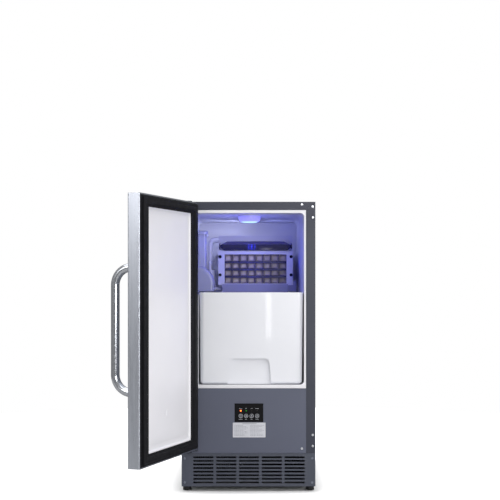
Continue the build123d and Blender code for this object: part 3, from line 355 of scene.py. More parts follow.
def galvanised(name):
    """Zinc-coated sheet: flat crystals of slightly different shade and gloss."""
    colour, rough = srgb(176, 180, 184), 0.42
    finish = Finish(name, colour, rough, 0.85)
    cells = finish.nodes.new("ShaderNodeTexVoronoi")
    cells.inputs["Scale"].default_value = 90
    finish.links.new(finish.stretched((1, 1, 1)), cells.inputs["Vector"])
    tone = finish.nodes.new("ShaderNodeSeparateColor")
    finish.links.new(cells.outputs["Color"], tone.inputs["Color"])
    finish.mix_colour(finish.ranged(tone.outputs["Red"], 0.0, 0.8, 0.0, 1.0), scaled(colour, 0.72))
    gloss = finish.ranged(tone.outputs["Green"], rough - 0.08, rough + 0.12, 0.0, 1.0)
    finish.links.new(gloss, finish.shader.inputs["Roughness"])
    return finish.bump(400, 0.01).material


def copper_finish(name):
    """Drawn copper tube, dulled in patches."""
    finish = Finish(name, srgb(196, 122, 92), 0.32, 0.95)
    finish.mottle(30, 0.25).vary_rough(40, 0.10)
    stain = finish.ranged(finish.noise(14, 5), 0.0, 0.45, 0.55, 0.8)
    return finish.mix_colour(stain, srgb(120, 74, 60)).material


PAINT = painted("painted_sheet", srgb(45, 48, 62))
# a lighter copy of the cabinet's paint for the control panel: painted light from below
PANEL_PAINT_PAINTED_LIGHT = painted("panel_paint_painted_light", srgb(84, 88, 105), 0.45)
# a lighter copy of the cabinet's paint for the grille: painted light
GRILLE_PAINT_PAINTED_LIGHT = painted("grille_paint_painted_light", srgb(68, 72, 85))
ZINC_SHEET = galvanised("galvanised_sheet")
ZINC = Finish("zinc_plate", srgb(205, 207, 212), 0.30, 1.0).mottle(60, 0.12).vary_rough(80, 0.08).material
STEEL = brushed("brushed_steel", srgb(190, 194, 203), 0.34, (900, 900, 5))
POLISHED = brushed("satin_steel", srgb(205, 208, 214), 0.17, (60, 60, 900), 0.06, 0.002)
LINER = moulded("liner_plastic", srgb(214, 215, 222), 0.36)
TRIM = moulded("trim_plastic", srgb(228, 227, 231), 0.40)
DOOR_LINER = moulded("door_liner_plastic", srgb(240, 239, 243), 0.34)
BIN = moulded(
    "bin_plastic", srgb(232, 233, 238), 0.22, gloss_change=0.015, Coat_Weight=0.5, Coat_Roughness=0.035
)
SCOOP = moulded("scoop_plastic", srgb(196, 200, 230), 0.16, Transmission_Weight=0.55, IOR=1.45)
MOULDING = moulded("white_moulding", srgb(205, 207, 218), 0.38)
# the trough is darker and bluer than the white moulding: painted shade and painted blue lamp light
TROUGH_PAINTED_SHADE = moulded("trough_moulding_painted_shade", srgb(132, 134, 160), 0.40)
HOOD_CREASE = 703.0
# the cover's gloss is drawn out upright, and above its crease its colour is paler: painted light on the upper
# facet
COVER = Finish("smoked_plastic_painted_light", srgb(38, 36, 68), 0.11, Anisotropic=0.97, Anisotropic_Rotation=0.25)
COVER = COVER.mottle(7, 0.05).above(HOOD_CREASE, srgb(96, 94, 130)).bump(900, 0.002).material
RUBBER = Finish("gasket_rubber", srgb(18, 18, 23), 0.75, Specular_IOR_Level=0.25).mottle(40, 0.2)
RUBBER = RUBBER.vary_rough(60, 0.08).bump(1200, 0.02).material
FOAM = Finish("polyurethane_foam", srgb(222, 200, 140), 0.9).mottle(60, 0.25).bump(350, 0.3).material
GLASS = Finish("display_film", srgb(9, 9, 14), 0.3, Specular_IOR_Level=0.15).mottle(40, 0.3)
GLASS = GLASS.bump(300, 0.004).material
KEY = Finish("key_plastic", srgb(18, 18, 23), 0.4, Specular_IOR_Level=0.3).mottle(60, 0.2)
KEY = KEY.bump(900, 0.01).material
BOARD = Finish("circuit_board", srgb(24, 70, 44), 0.45).mottle(200, 0.35).bump(500, 0.05).material
LENS = Finish("lens", srgb(46, 42, 38), 0.15).mottle(400, 0.2).material
PAPER = Finish("label_film", srgb(202, 203, 209), 0.45).mottle(50, 0.05).bump(900, 0.004).material
DARK_SCREW = Finish("dark_screw", srgb(128, 133, 147), 0.35, 0.7).mottle(200, 0.25).material
NYLON = moulded("nylon", srgb(232, 228, 216), 0.4)
COPPER = copper_finish("copper_tube")
SILICONE = moulded("silicone_hose", srgb(226, 228, 238), 0.24, Transmission_Weight=0.15, IOR=1.41)
PUMP = moulded("black_moulding", srgb(44, 44, 50), 0.45)
# the condenser's aluminium fins are dark grey: painted shade behind the grille's slots
CONDENSER_FINS_PAINTED_SHADE = Finish("fin_aluminium", srgb(60, 62, 66), 0.5, 0.8).mottle(1, 0.3, 2, (400, 20, 20)).material
BLACK = painted("black_paint", srgb(30, 31, 34), 0.35, 0.15)
FOOT = moulded("leg_plastic", srgb(22, 22, 25), 0.5, 0.1, 0.04)
# the shelves' saturated dark blue is a painted reflection of the blue lamp, with painted shade
SHELF_PAINTED_BLUE_REFLECTION = Finish("shelf_painted_blue_reflection", srgb(12, 9, 74), 0.35, 0.3).mottle(40, 0.3).vary_rough(60, 0.08).material
# the fins are far darker than the cups of the same plated metal: painted shade for the gaps between the cups
FIN_METAL_PAINTED_SHADE = Finish("nickel_fins_painted_shade", srgb(70, 66, 76), 0.42, 0.3).mottle(40, 0.2).vary_rough(60, 0.08).material
CUP_METAL = Finish("frosted_nickel", srgb(186, 176, 172), 0.5, 0.15).mottle(60, 0.22).vary_rough(60, 0.08)
CUP_METAL = CUP_METAL.bump(500, 0.04).material


# ------------------------------------------------------------------ door pieces


# the seal inside the gasket's box, in millimetres: its margins, its width, and its inner lip
SEAL_SIDE, SEAL_FOOT, SEAL_HEAD = 8.5, 3.5, 3.9
SEAL_WIDTH = 18.0
LIP_SIDE, LIP_END = 15.0, 6.9
# the door's pan inside the gasket's box, and the plug on it
PAN_SIDE, PAN_FOOT, PAN_HEAD = 41.5, 28.2, 29.0
PAN_DEPTH = 3.5
PLUG_X, PLUG_Z = 9.0, 242.0


def outline_loop(outline, wide, tall, y):
    """A rectangle's corners, drawn in by wide at the sides and tall at the ends."""
    x0, x1, z0, z1 = outline
    x0, x1, z0, z1 = x0 + wide, x1 - wide, z0 + tall, z1 - tall
    return [(x0, y, z0), (x1, y, z0), (x1, y, z1), (x0, y, z1)]


def door_gasket():
    """A mitred magnetic seal: an outer flange, bellows, a raised sealing face and a lower lip."""
    x0, x1, back, _, z0, z1 = closed_span("door_gasket")
    flange = [(0.5, 0.0), (0.0, 0.4), (0.0, 0.9), (0.4, 1.2)]
    strip = [
        (0.6, 1.3), (0.0, 1.8), (0.0, 2.5), (0.9, 3.1), (1.3, 3.8), (0.9, 4.4), (0.2, 4.9), (0.0, 5.6),
        (0.0, 7.4), (0.35, 8.0), (1.1, 8.2), (5.6, 8.2), (6.1, 7.9), (6.6, 8.2), (16.4, 8.2), (17.3, 8.0),
        (17.9, 7.4), (SEAL_WIDTH, 6.3), (18.4, 5.2),
    ]
    lip = [
        (0.07, 4.65), (0.2, 4.5), (0.45, 4.35), (0.7, 4.5), (0.93, 4.5), (0.985, 4.35), (1.0, 4.0),
        (1.0, 0.0),
    ]
    body = (x0 + SEAL_SIDE, x1 - SEAL_SIDE, z0 + SEAL_FOOT, z1 - SEAL_HEAD)
    loops = [outline_loop((x0, x1, z0, z1), inset, inset, back + rise) for inset, rise in flange]
    loops += [outline_loop(body, inset, inset, back + rise) for inset, rise in strip]
    for share, rise in lip:
        wide, tall = SEAL_WIDTH + LIP_SIDE * share, SEAL_WIDTH + LIP_END * share
        loops.append(outline_loop(body, wide, tall, back + rise))
    bm = bmesh.new()
    add_loops(bm, loops + loops[:1])
    bmesh.ops.remove_doubles(bm, verts=bm.verts, dist=0.001)
    mesh = mesh_of(bm, DOOR_TURN)
    finish_object("gasket", mesh, "door", RUBBER, 50, ["door_gasket"])


def door_liner():
    """The door's vacuum-formed back: a flat border under the gasket and a shallow pan inside it."""
    x0, x1, y0, y1, z0, z1 = closed_span("door_liner")
    g0, g1, _, _, h0, h1 = closed_span("door_gasket")
    lip = (g0 + PAN_SIDE, g1 - PAN_SIDE, h0 + PAN_FOOT, h1 - PAN_HEAD)
    floor_y = y1 - PAN_DEPTH
    border = ((0.0, y0, 3.0), (0.0, y1 - 0.7, 3.0), (0.25, y1 - 0.2, 3.0), (0.9, y1, 3.0))
    pan = (
        (-1.0, y1, 8.0), (1.6, y1, 9.0), (2.4, y1 - 0.15, 9.4), (3.0, y1 - 0.6, 9.8),
        (5.4, floor_y + 0.7, 11.0), (6.2, floor_y + 0.2, 11.5), (7.2, floor_y, 12.0), (18.0, floor_y, 13.0),
        (18.8, floor_y + 0.1, 13.0), (20.4, floor_y + 0.55, 13.0), (21.4, floor_y + 0.65, 13.0),
    )
    rings = []
    for (a, b, c, d), steps in (((x0, x1, z0, z1), border), (lip, pan)):
        for inset, y, radius in steps:
            points = corner_points(a + inset, b - inset, c + inset, d - inset, radius)
            rings.append([(x, y, z) for x, z in points])
    bm = bmesh.new()
    add_loops(bm, rings, cap_start=True, cap_end=True)
    mesh = mesh_of(bm, DOOR_TURN)
    finish_object("door_back", mesh, "door", DOOR_LINER, 40, ["door_liner"])
    bm = bmesh.new()
    seat = floor_y + 0.6
    dome = [
        (10.0, 0.0), (10.0, 0.35), (9.5, 0.75), (8.2, 0.95), (7.7, 0.8), (7.0, 0.8), (3.8, 1.05), (0.05, 1.1),
    ]
    add_lathe(bm, dome, (PLUG_X, seat, PLUG_Z), "Y", 40)
    finish_object("door_plug", mesh_of(bm, DOOR_TURN), "door", DOOR_LINER, 40)


def door_handle():
    """A bent tube on two collars, standing off the door's outer face."""
    x0, x1, y0, y1, z0, z1 = closed_span("door_handle")
    radius, bend = 11.0, 45.0
    x, y, seat = (x0 + x1) / 2, y0 + radius, y1 - 0.4
    low, high = z0 + radius, z1 - radius
    path = [(x, seat, high), (x, y, high), (x, y, low), (x, seat, low)]
    mesh = tube_mesh("handle", bend_points(path, [bend, bend]), radius, 32, 12, DOOR_TURN)
    finish_object("handle", mesh, "door", POLISHED, 50, ["door_handle"])
    bm = bmesh.new()
    for z in (low, high):
        collar = [(11.05, 0.0), (13.3, 0.0), (13.3, -2.2), (12.9, -2.7), (12.2, -3.0), (11.05, -3.0)]
        add_lathe(bm, collar, (x, DOOR_FRONT, z), "Y", 48)
    finish_object("handle_collars", mesh_of(bm, DOOR_TURN), "door", POLISHED, 40)


DOOR_FRONT = closed_span("door_skin")[2]
door_gasket()
door_liner()
door_handle()

# ------------------------------------------------------------------ control panel pieces

LED_GLOWS = (
    ((1.0, 0.13, 0.01, 1), 1.6, 2.7),
    ((0.02, 0.30, 0.01, 1), 0.6, 1.5),
    ((0.0, 0.0, 0.0, 1), 0.0, 1.5),
    ((0.0, 0.0, 0.0, 1), 0.0, 1.5),
)


def glowing(name, glow, strength):
    """A lens that gives off its own colour."""
    return Finish(name, glow, 0.2, Emission_Color=glow, Emission_Strength=strength).mottle(300, 0.1).material


def indicators():
    """Four domed lenses; the first is lit, round a brighter middle, and the second glows faintly."""
    x0, x1, y0, _, z0, z1 = span("indicator_lenses")
    seat = (z1 - z0) / 2
    z = (z0 + z1) / 2
    for i, (glow, strength, radius) in enumerate(LED_GLOWS):
        x = x0 + seat + i * (x1 - x0 - 2 * seat) / 3
        bm = bmesh.new()
        dome = [(radius, 0.5), (radius, 0.3), (radius * 0.92, 0.15), (radius * 0.6, 0.04), (0.02, 0.0)]
        add_lathe(bm, dome, (x, y0, z), "Y", 24)
        material = glowing(f"indicator_glow_{i + 1}", glow, strength) if strength else LENS
        names = ["indicator_lenses"] if i == 0 else []
        finish_object(f"indicator_{i + 1}", mesh_of(bm), "cabinet", material, 40, names)
        if i == 0:
            bm = bmesh.new()
            add_lathe(bm, [(1.15, 0.3), (1.1, 0.05), (0.7, -0.05), (0.02, -0.08)], (x, y0, z), "Y", 24)
            core = glowing("indicator_core", (1.0, 0.62, 0.05, 1), 1.6)
            finish_object("indicator_core", mesh_of(bm), "cabinet", core, 40)


PRINT_THICKNESS = 0.04
SIGN_WIDTH = 0.6


def strip(bm, x0, x1, z0, z1, y):
    """A flat printed bar."""
    add_box(bm, x0, x1, y - PRINT_THICKNESS, y, z0, z1)


def ring(bm, x, z, outer, inner, y, start=0, stop=360):
    """A flat printed ring or part ring."""
    count = max(4, int(40 * (stop - start) / 360))
    loops = []
    for i in range(count + 1):
        a = radians(start + (stop - start) * i / count)
        c, s = cos(a), sin(a)
        loops.append([
            (x + r * c, yy, z + r * s)
            for r, yy in ((outer, y - PRINT_THICKNESS), (outer, y), (inner, y), (inner, y - PRINT_THICKNESS))
        ])
    whole = stop - start == 360
    add_loops(bm, loops[:-1] + [loops[0]] if whole else loops, cap_start=not whole, cap_end=not whole)


def stroke(bm, points, y):
    """A flat printed line through (x, z) points."""
    half = SIGN_WIDTH / 2
    for (ax, az), (bx, bz) in zip(points, points[1:]):
        along = Vector((bx - ax, bz - az)).normalized() * half
        side = Vector((-along.y, along.x))
        a, b = Vector((ax, az)) - along, Vector((bx, bz)) + along
        corners = (a - side, b - side, b + side, a + side)
        add_loops(
            bm, [[(p.x, depth, p.y) for p in corners] for depth in (y - PRINT_THICKNESS, y)],
            cap_start=True, cap_end=True,
        )


PRINT = Finish("printed_mark", srgb(196, 198, 206), 0.5).mottle(500, 0.1).material
PRINT_DIM = Finish("printed_mark_dim", srgb(196, 198, 205), 0.5).mottle(500, 0.1).material
LABEL_INK = Finish("label_ink", srgb(138, 140, 152), 0.5).mottle(500, 0.1).material


def key_marks():
    """A ring and a plain sign on each key, riding with the key."""
    for i in range(4):
        node = f"button_{i + 1}"
        x0, x1, y0, _, z0, z1 = span(node)
        x, z = (x0 + x1) / 2, (z0 + z1) / 2
        bm = bmesh.new()
        ring(bm, x, z, 5.5, 4.75, y0)
        if i == 0:
            ring(bm, x, z, 2.4, 1.8, y0, start=-235, stop=55)
            stroke(bm, [(x, z + 0.8), (x, z + 3.0)], y0)
        elif i == 1:
            stroke(bm, [(x - 2.4, z - 0.2), (x, z + 2.6), (x + 2.4, z - 0.2), (x - 2.4, z - 0.2)], y0)
            stroke(bm, [(x - 2.4, z - 1.9), (x + 2.4, z - 1.9)], y0)
        elif i == 2:
            ring(bm, x, z + 0.9, 2.0, 1.4, y0, start=-50, stop=230)
            stroke(bm, [(x - 0.9, z - 1.2), (x + 0.9, z - 1.2)], y0)
            stroke(bm, [(x - 0.7, z - 2.4), (x + 0.7, z - 2.4)], y0)
        else:
            stroke(bm, [(x, z + 2.6), (x, z), (x + 1.8, z - 1.0)], y0)
            ring(bm, x, z, 2.9, 2.35, y0)
        finish_object(f"key_mark_{i + 1}", mesh_of(bm), node, PRINT, 30)


def panel_marks():
    """Short bars in place of the captions over the lenses and under the keys."""
    y = span("display_window")[2]
    bm = bmesh.new()
    over_lenses, under_keys = 232.9, 202.6
    for i, (above, below) in enumerate(((9.6, 11.2), (4.6, 6.4), (5.4, 5.6), (10.0, 9.6))):
        x0, x1 = span(f"button_{i + 1}")[:2]
        x = (x0 + x1) / 2
        for z, half_tall, width in ((over_lenses, 0.45, above), (under_keys, 0.55, below)):
            pieces = max(2, round(width / 2.2))
            pitch = width / pieces
            for k in range(pieces):
                left = x - width / 2 + k * pitch
                strip(bm, left, left + pitch * 0.68, z - half_tall, z + half_tall, y)
    finish_object("display_marks", mesh_of(bm), "cabinet", PRINT_DIM, 30)


def label_print():
    """Faint bars in place of the label's text: a heading over two columns of nine rows."""
    x0, x1, y0, _, _, z1 = span("instruction_label")
    bm = bmesh.new()
    middle = (x0 + x1) / 2
    strip(bm, middle - 19, middle + 21, z1 - 3.6, z1 - 2.2, y0)
    rows, first_row, row_pitch = 9, z1 - 7.6, 3.55
    for row in range(rows):
        z = first_row - row * row_pitch
        for side, (left, right) in enumerate(((x0 + 4.5, middle - 3), (middle + 3, x1 - 4.5))):
            length = (right - left) * (0.62 + 0.36 * abs(sin(2.3 * row + 1.7 * side)))
            x = left
            k = 0
            while x < left + length:
                word = 2.2 + 2.6 * abs(sin(3.1 * row + 1.9 * k + side))
                strip(bm, x, min(x + word, left + length), z - 0.5, z + 0.5, y0)
                x += word + 1.1
                k += 1
    finish_object("label_print", mesh_of(bm), "cabinet", LABEL_INK, 30)


indicators()
key_marks()
panel_marks()
label_print()

# ------------------------------------------------------------------ ice compartment pieces


def lamp_lens():
    """A fluted dome with fine rings in its bottom, which is its brightest part."""
    x0, x1, y0, y1, z0, z1 = span("lamp_lens")
    centre = ((x0 + x1) / 2, (y0 + y1) / 2, z0)
    radius, height = (x1 - x0) / 2, z1 - z0
    profile = [(1.0, 1.0), (1.0, 0.62), (0.98, 0.45), (0.93, 0.30), (0.85, 0.17), (0.75, 0.07), (0.66, 0.02)]
    for k in range(6):
        share = 0.62 - 0.10 * k
        profile += [(share, 0.0), (share - 0.05, 0.045)]
    profile.append((0.02, 0.0))
    bm = bmesh.new()
    steps, flutes = 96, 24
    loops = []
    for share, rise in profile:
        loop = []
        for i in range(steps):
            a = 2 * pi * i / steps
            flute = 1 - 0.012 * (0.5 + 0.5 * cos(flutes * a)) if 0.1 < rise < 0.95 else 1
            r = radius * share * flute
            loop.append((centre[0] + r * cos(a), centre[1] + r * sin(a), centre[2] + height * rise))
        loops.append(loop)
    add_loops(bm, loops, cap_end=True)
    finish = Finish("lamp_glow", srgb(120, 118, 190), 0.25, Emission_Strength=1.1, Specular_IOR_Level=0.5)
    finish.mottle(60, 0.08)
    separate = finish.nodes.new("ShaderNodeSeparateXYZ")
    finish.links.new(finish.coords.outputs["Object"], separate.inputs["Vector"])
    ramp = finish.nodes.new("ShaderNodeValToRGB")
    ramp.color_ramp.elements[0].position = 0.0
    ramp.color_ramp.elements[0].color = (0.55, 0.95, 1.0, 1)
    ramp.color_ramp.elements[1].position = 1.0
    ramp.color_ramp.elements[1].color = (0.19, 0.18, 0.98, 1)
    middle = ramp.color_ramp.elements.new(0.20)
    middle.color = (0.24, 0.23, 1.0, 1)
    finish.links.new(finish.ranged(separate.outputs["Z"], 0.0, 1.0, z0 * MM, z1 * MM), ramp.inputs["Fac"])
    finish.links.new(ramp.outputs["Color"], finish.shader.inputs["Emission Color"])
    finish_object("lamp_dome", mesh_of(bm), "cabinet", finish.material, 50, ["lamp_lens"])


GRID_COLUMNS, GRID_ROWS = 8, 4
NOTCH_INSET, NOTCH_HEIGHTS = 5.5, (610.0, 666.0)


def evaporator_cups():
    """The freezing plate: rows of open cups with drafted walls, divided by thin fins and leaning shelves."""
    x0, x1, y0, y1, z0, z1 = span("evaporator_grid")
    rim = 4
    left, right, low, high = x0 + rim, x1 - rim, z0 + rim, z1 - rim
    pitch_x, pitch_z = (right - left) / GRID_COLUMNS, (high - low) / GRID_ROWS
    bm = bmesh.new()
    back = y1 - 2.4
    add_box(bm, x0, x1, back, y1, z0, z1)
    for i in range(GRID_COLUMNS + 1):
        x = left + i * pitch_x
        add_box(bm, x - 1.6, x + 1.6, y0 + 1.2, back, low - 0.3, high + 0.3, 0.3, 1)
    finish_object("ice_grid", mesh_of(bm), "cabinet", FIN_METAL_PAINTED_SHADE, 30, ["evaporator_grid"])
    bm = bmesh.new()
    for j in range(1, GRID_ROWS):
        z = low + j * pitch_z
        section = [
            (y0 + 0.4, z - 5.0), (y0 + 0.4, z + 1.3), (back, z + 3.2), (back, z + 1.6), (y0 + 5.0, z - 4.2),
        ]
        ends = [[(x, y, height) for y, height in section] for x in (left, right)]
        add_loops(bm, ends, cap_start=True, cap_end=True)
    # the shelves carry a painted blue reflection and painted shade
    finish_object("ice_shelves", mesh_of(bm), "cabinet", SHELF_PAINTED_BLUE_REFLECTION, 30)
    walls = (
        (1.0, back - 9.0, 1.2), (2.2, back - 5.0, 2.2), (3.4, back - 1.6, 3.4), (4.6, back - 0.5, 3.2),
        (6.2, back - 0.25, 2.4),
    )
    bm = bmesh.new()
    for i in range(GRID_COLUMNS):
        for j in range(GRID_ROWS):
            cx, cz = left + (i + 0.5) * pitch_x, low + (j + 0.5) * pitch_z
            loops = []
            for shrink, y, radius in walls:
                half_x, half_z = pitch_x / 2 - shrink, pitch_z / 2 - shrink
                points = corner_points(cx - half_x, cx + half_x, cz - half_z, cz + half_z, radius, 5)
                loops.append([(x, y, z) for x, z in points])
            add_loops(bm, loops, cap_end=True)
    finish_object("ice_cups", mesh_of(bm), "cabinet", CUP_METAL, 50)


def hood():
    """The cover over the water distributor: a folded front with tapered ends and two round ears."""
    x0, x1 = span("distributor_cover")[:2]
    axis_y, axis_z = [v / MM for v in joints["cover_lift"]["pos_m"][1:]]
    crease = HOOD_CREASE
    rows = (
        (684.9, 14.0, 285.4), (686.0, 12.2, 284.6), (691.0, 6.0, 284.2), (696.8, 1.2, 283.8),
        (698.2, 1.4, 283.4), (crease - 0.8, 4.8, 282.4), (crease, 6.4, 282.2), (crease + 0.8, 8.2, 282.6),
        (711.2, 20.5, 293.8), (712.4, 22.5, 295.4), (713.0, 23.6, 297.0), (713.0, 23.8, 308.0),
    )
    bm = bmesh.new()
    columns = 24
    grid = []
    for z, inset, y in rows:
        left, right = x0 + inset, x1 - inset
        curls = y < 300
        end, near_end = (y + 5.0, y + 1.6) if curls else (y, y)
        points = [(left, end, z), (left + 1.5, near_end, z)]
        points += [(left + 5 + (right - left - 10) * i / columns, y, z) for i in range(columns + 1)]
        points += [(right - 1.5, near_end, z), (right, end, z)]
        grid.append([bm.verts.new(p) for p in points])
    for a, b in zip(grid, grid[1:]):
        for i in range(len(a) - 1):
            bm.faces.new((a[i], a[i + 1], b[i + 1], b[i]))
    obj = finish_object("hood", mesh_of(bm), "cover", COVER, 28, ["distributor_cover"])
    shell = obj.modifiers.new("shell", "SOLIDIFY")
    shell.thickness = 1.8 * MM
    shell.offset = -1
    soften_edges(obj, 0.4, 40)
    bm = bmesh.new()
    bore, steps = 6.15, 40
    for near, far in ((x0, x0 + 3.0), (x1 - 3.0, x1)):
        collar = [
            (bore, near), (8.6, near), (9.0, near + 0.4), (9.0, far - 0.4), (8.6, far), (bore, far),
            (bore, near),
        ]
        turns = [2 * pi * i / steps for i in range(steps)]
        add_loops(bm, [[(h, axis_y + r * cos(a), axis_z + r * sin(a)) for a in turns] for r, h in collar])
    for left, right in ((x0 + 0.4, x0 + 2.6), (x1 - 2.6, x1 - 0.4)):
        add_box(bm, left, right, 286.5, axis_y - bore - 0.6, axis_z - 3.6, axis_z + 3.6, 0.5)
    finish_object("hood_ears", mesh_of(bm), "cover", COVER, 40)


def grommets():
    """Dark rubber bushes in the four notches of the evaporator's frame."""
    x0, x1, y0 = span("evaporator_frame")[:3]
    bm = bmesh.new()
    bush = [(1.6, 0.5), (4.2, 0.5), (4.85, 1.0), (4.85, 9.0), (1.6, 9.0)]
    for x in (x0 + NOTCH_INSET, x1 - NOTCH_INSET):
        for z in NOTCH_HEIGHTS:
            add_lathe(bm, bush, (x, y0, z), "Y", 32)
    finish_object("frame_grommets", mesh_of(bm), "cabinet", RUBBER, 35)


lamp_lens()
evaporator_cups()
hood()
grommets()

# ------------------------------------------------------------------ levelling legs


STUD_R, ROOT_R, THREAD_PITCH = 4.9, 4.45, 1.25
STUD_FOOT = 14.0
NOTCHES = 12


def leg(node):
    """A notched foot with a stepped sole, a collar and a threaded stud."""
    x0, x1, y0, y1, _, z1 = span(node)
    x, y = (x0 + x1) / 2, (y0 + y1) / 2
    foot = (x1 - x0) / 2
    bm = bmesh.new()
    profile = [
        (foot - 1.2, 0.0), (foot - 0.3, 0.4), (foot, 1.2), (foot, 3.2), (foot - 0.5, 3.6), (foot - 0.5, 4.2),
        (foot - 0.1, 4.6), (foot - 0.2, 8.4), (foot - 0.8, 9.4), (foot - 2.0, 10.0), (7.0, 10.4), (6.9, 13.4),
        (STUD_R, 13.6), (STUD_R, STUD_FOOT),
    ]
    z = STUD_FOOT
    while z + THREAD_PITCH < z1 - 1.0:
        profile += [(STUD_R, z), (ROOT_R, z + THREAD_PITCH * 0.45), (STUD_R, z + THREAD_PITCH * 0.9)]
        z += THREAD_PITCH
    profile += [(STUD_R, z1 - 0.8), (4.2, z1)]
    add_lathe(bm, profile, (x, y, 0), "Z", 48)
    for v in bm.verts:
        if 4.5 < v.co.z < 9.5:
            a = Vector((v.co.x - x, v.co.y - y)).angle_signed(Vector((1, 0)), 0)
            squeeze = 1 - 0.035 * (0.5 + 0.5 * cos(NOTCHES * a))
            v.co.x = x + (v.co.x - x) * squeeze
            v.co.y = y + (v.co.y - y) * squeeze
    finish_object(node + "_foot", mesh_of(bm), node, FOOT, 35, [node])


for side in ("front_left", "front_right", "rear_left", "rear_right"):
    leg("leg_" + side)


# ------------------------------------------------------------------ CAD nodes that stay

KEPT = {
    "side_panel_left": (PAINT, 0.5),
    "side_panel_right": (PAINT, 0.5),
    "top_panel": (PAINT, 0.5),
    "rear_panel": (ZINC_SHEET, 0.3),
    "base_pan": (ZINC_SHEET, 0.4),
    "leg_sockets": (ZINC, 0.4),
    "compartment_deck": (ZINC_SHEET, 0.3),
    "insulation_foam": (FOAM, 0.5),
    "inner_liner": (LINER, 0.8),
    "liner_trim": (TRIM, 0.8),
    "control_panel": (PANEL_PAINT_PAINTED_LIGHT, 0.0),
    "display_window": (GLASS, 0.25),
    "control_board": (BOARD, 0.2),
    "instruction_label": (PAPER, 0.0),
    "grille": (GRILLE_PAINT_PAINTED_LIGHT, 0.25),
    "grille_screws": (DARK_SCREW, 0.25),
    "flange_screws": (ZINC, 0.25),
    "hinge_bracket_upper": (PAINT, 0.5),
    "hinge_bracket_lower": (PAINT, 0.5),
    "hinge_pins": (ZINC, 0.4),
    "scoop_holder": (MOULDING, 0.5),
    "lamp_base": (MOULDING, 0.5),
    "bin_sensor": (MOULDING, 0.4),
    "evaporator_frame": (MOULDING, 0.6),
    "evaporator_coil": (COPPER, 0.0),
    "water_distributor": (MOULDING, 0.4),
    "water_trough": (TROUGH_PAINTED_SHADE, 0.6),
    "circulation_pump": (MOULDING, 0.5),
    "pump_hose": (SILICONE, 0.2),
    "condenser": (CONDENSER_FINS_PAINTED_SHADE, 0.0),
    "fan_shroud": (BLACK, 0.4),
    "fan_motor": (BLACK, 0.4),
    "compressor": (BLACK, 0.8),
    "filter_drier": (COPPER, 0.3),
    "refrigerant_lines": (COPPER, 0.0),
    "inlet_valve": (PUMP, 0.5),
    "drain_fitting": (PUMP, 0.4),
    "cord_gland": (PUMP, 0.3),
    "door_skin": (STEEL, 0.5),
    "door_foam": (FOAM, 0.3),
    "door_bushes": (NYLON, 0.3),
    "ice_bin": (BIN, 0.8),
    "ice_scoop": (SCOOP, 0.5),
    "fan_rotor": (PUMP, 0.3),
    "float_ring": (MOULDING, 0.4),
    "button_1": (KEY, 0.3),
    "button_2": (KEY, 0.3),
    "button_3": (KEY, 0.3),
    "button_4": (KEY, 0.3),
}

for node, (finish, bevel) in KEPT.items():
    keep(node, finish, bevel)

# ------------------------------------------------------------------ camera, light and floor


def camera():
    data = bpy.data.cameras.new("camera")
    data.lens = 80.93
    data.sensor_width = 36
    data.shift_x = 0.003
    data.shift_y = 0.072
    data.clip_end = 60
    obj = bpy.data.objects.new("camera", data)
    scene.collection.objects.link(obj)
    obj.location = (0, -3.150, 0.576)
    obj.rotation_euler = (radians(90), 0, 0)
    scene.camera = obj


def area(name, size, power, location, target, colour=(1, 1, 1), mirrored=True):
    data = bpy.data.lights.new(name, "AREA")
    data.shape = "RECTANGLE"
    data.size, data.size_y = size
    data.energy = power
    data.color = colour
    obj = bpy.data.objects.new(name, data)
    scene.collection.objects.link(obj)
    obj.location = location
    obj.rotation_euler = (Vector(target) - Vector(location)).to_track_quat("-Z", "Y").to_euler()
    obj.visible_glossy = mirrored
    return obj


def sun(name, strength, spread):
    data = bpy.data.lights.new(name, "SUN")
    data.energy = strength
    data.angle = radians(spread)
    obj = bpy.data.objects.new(name, data)
    scene.collection.objects.link(obj)


def world():
    """A plain white backdrop; the light it gives is brighter from above than from below."""
    sky = bpy.data.worlds.new("studio")
    sky.use_nodes = True
    tree = sky.node_tree
    lighting = tree.nodes["Background"]
    backdrop = tree.nodes.new("ShaderNodeBackground")
    backdrop.inputs["Color"].default_value = (1, 1, 1, 1)
    coords = tree.nodes.new("ShaderNodeTexCoord")
    split = tree.nodes.new("ShaderNodeSeparateXYZ")
    ramp = tree.nodes.new("ShaderNodeMapRange")
    path = tree.nodes.new("ShaderNodeLightPath")
    mix = tree.nodes.new("ShaderNodeMixShader")
    for socket, number in (("From Min", -0.3), ("From Max", 0.9), ("To Min", 0.22), ("To Max", 0.50)):
        ramp.inputs[socket].default_value = number
    tree.links.new(coords.outputs["Generated"], split.inputs["Vector"])
    tree.links.new(split.outputs["Z"], ramp.inputs["Value"])
    tree.links.new(ramp.outputs["Result"], lighting.inputs["Strength"])
    tree.links.new(path.outputs["Is Camera Ray"], mix.inputs["Fac"])
    tree.links.new(lighting.outputs["Background"], mix.inputs[1])
    tree.links.new(backdrop.outputs["Background"], mix.inputs[2])
    tree.links.new(mix.outputs["Shader"], tree.nodes["World Output"].inputs["Surface"])
    lighting.inputs["Color"].default_value = (1, 1, 1, 1)
    scene.world = sky


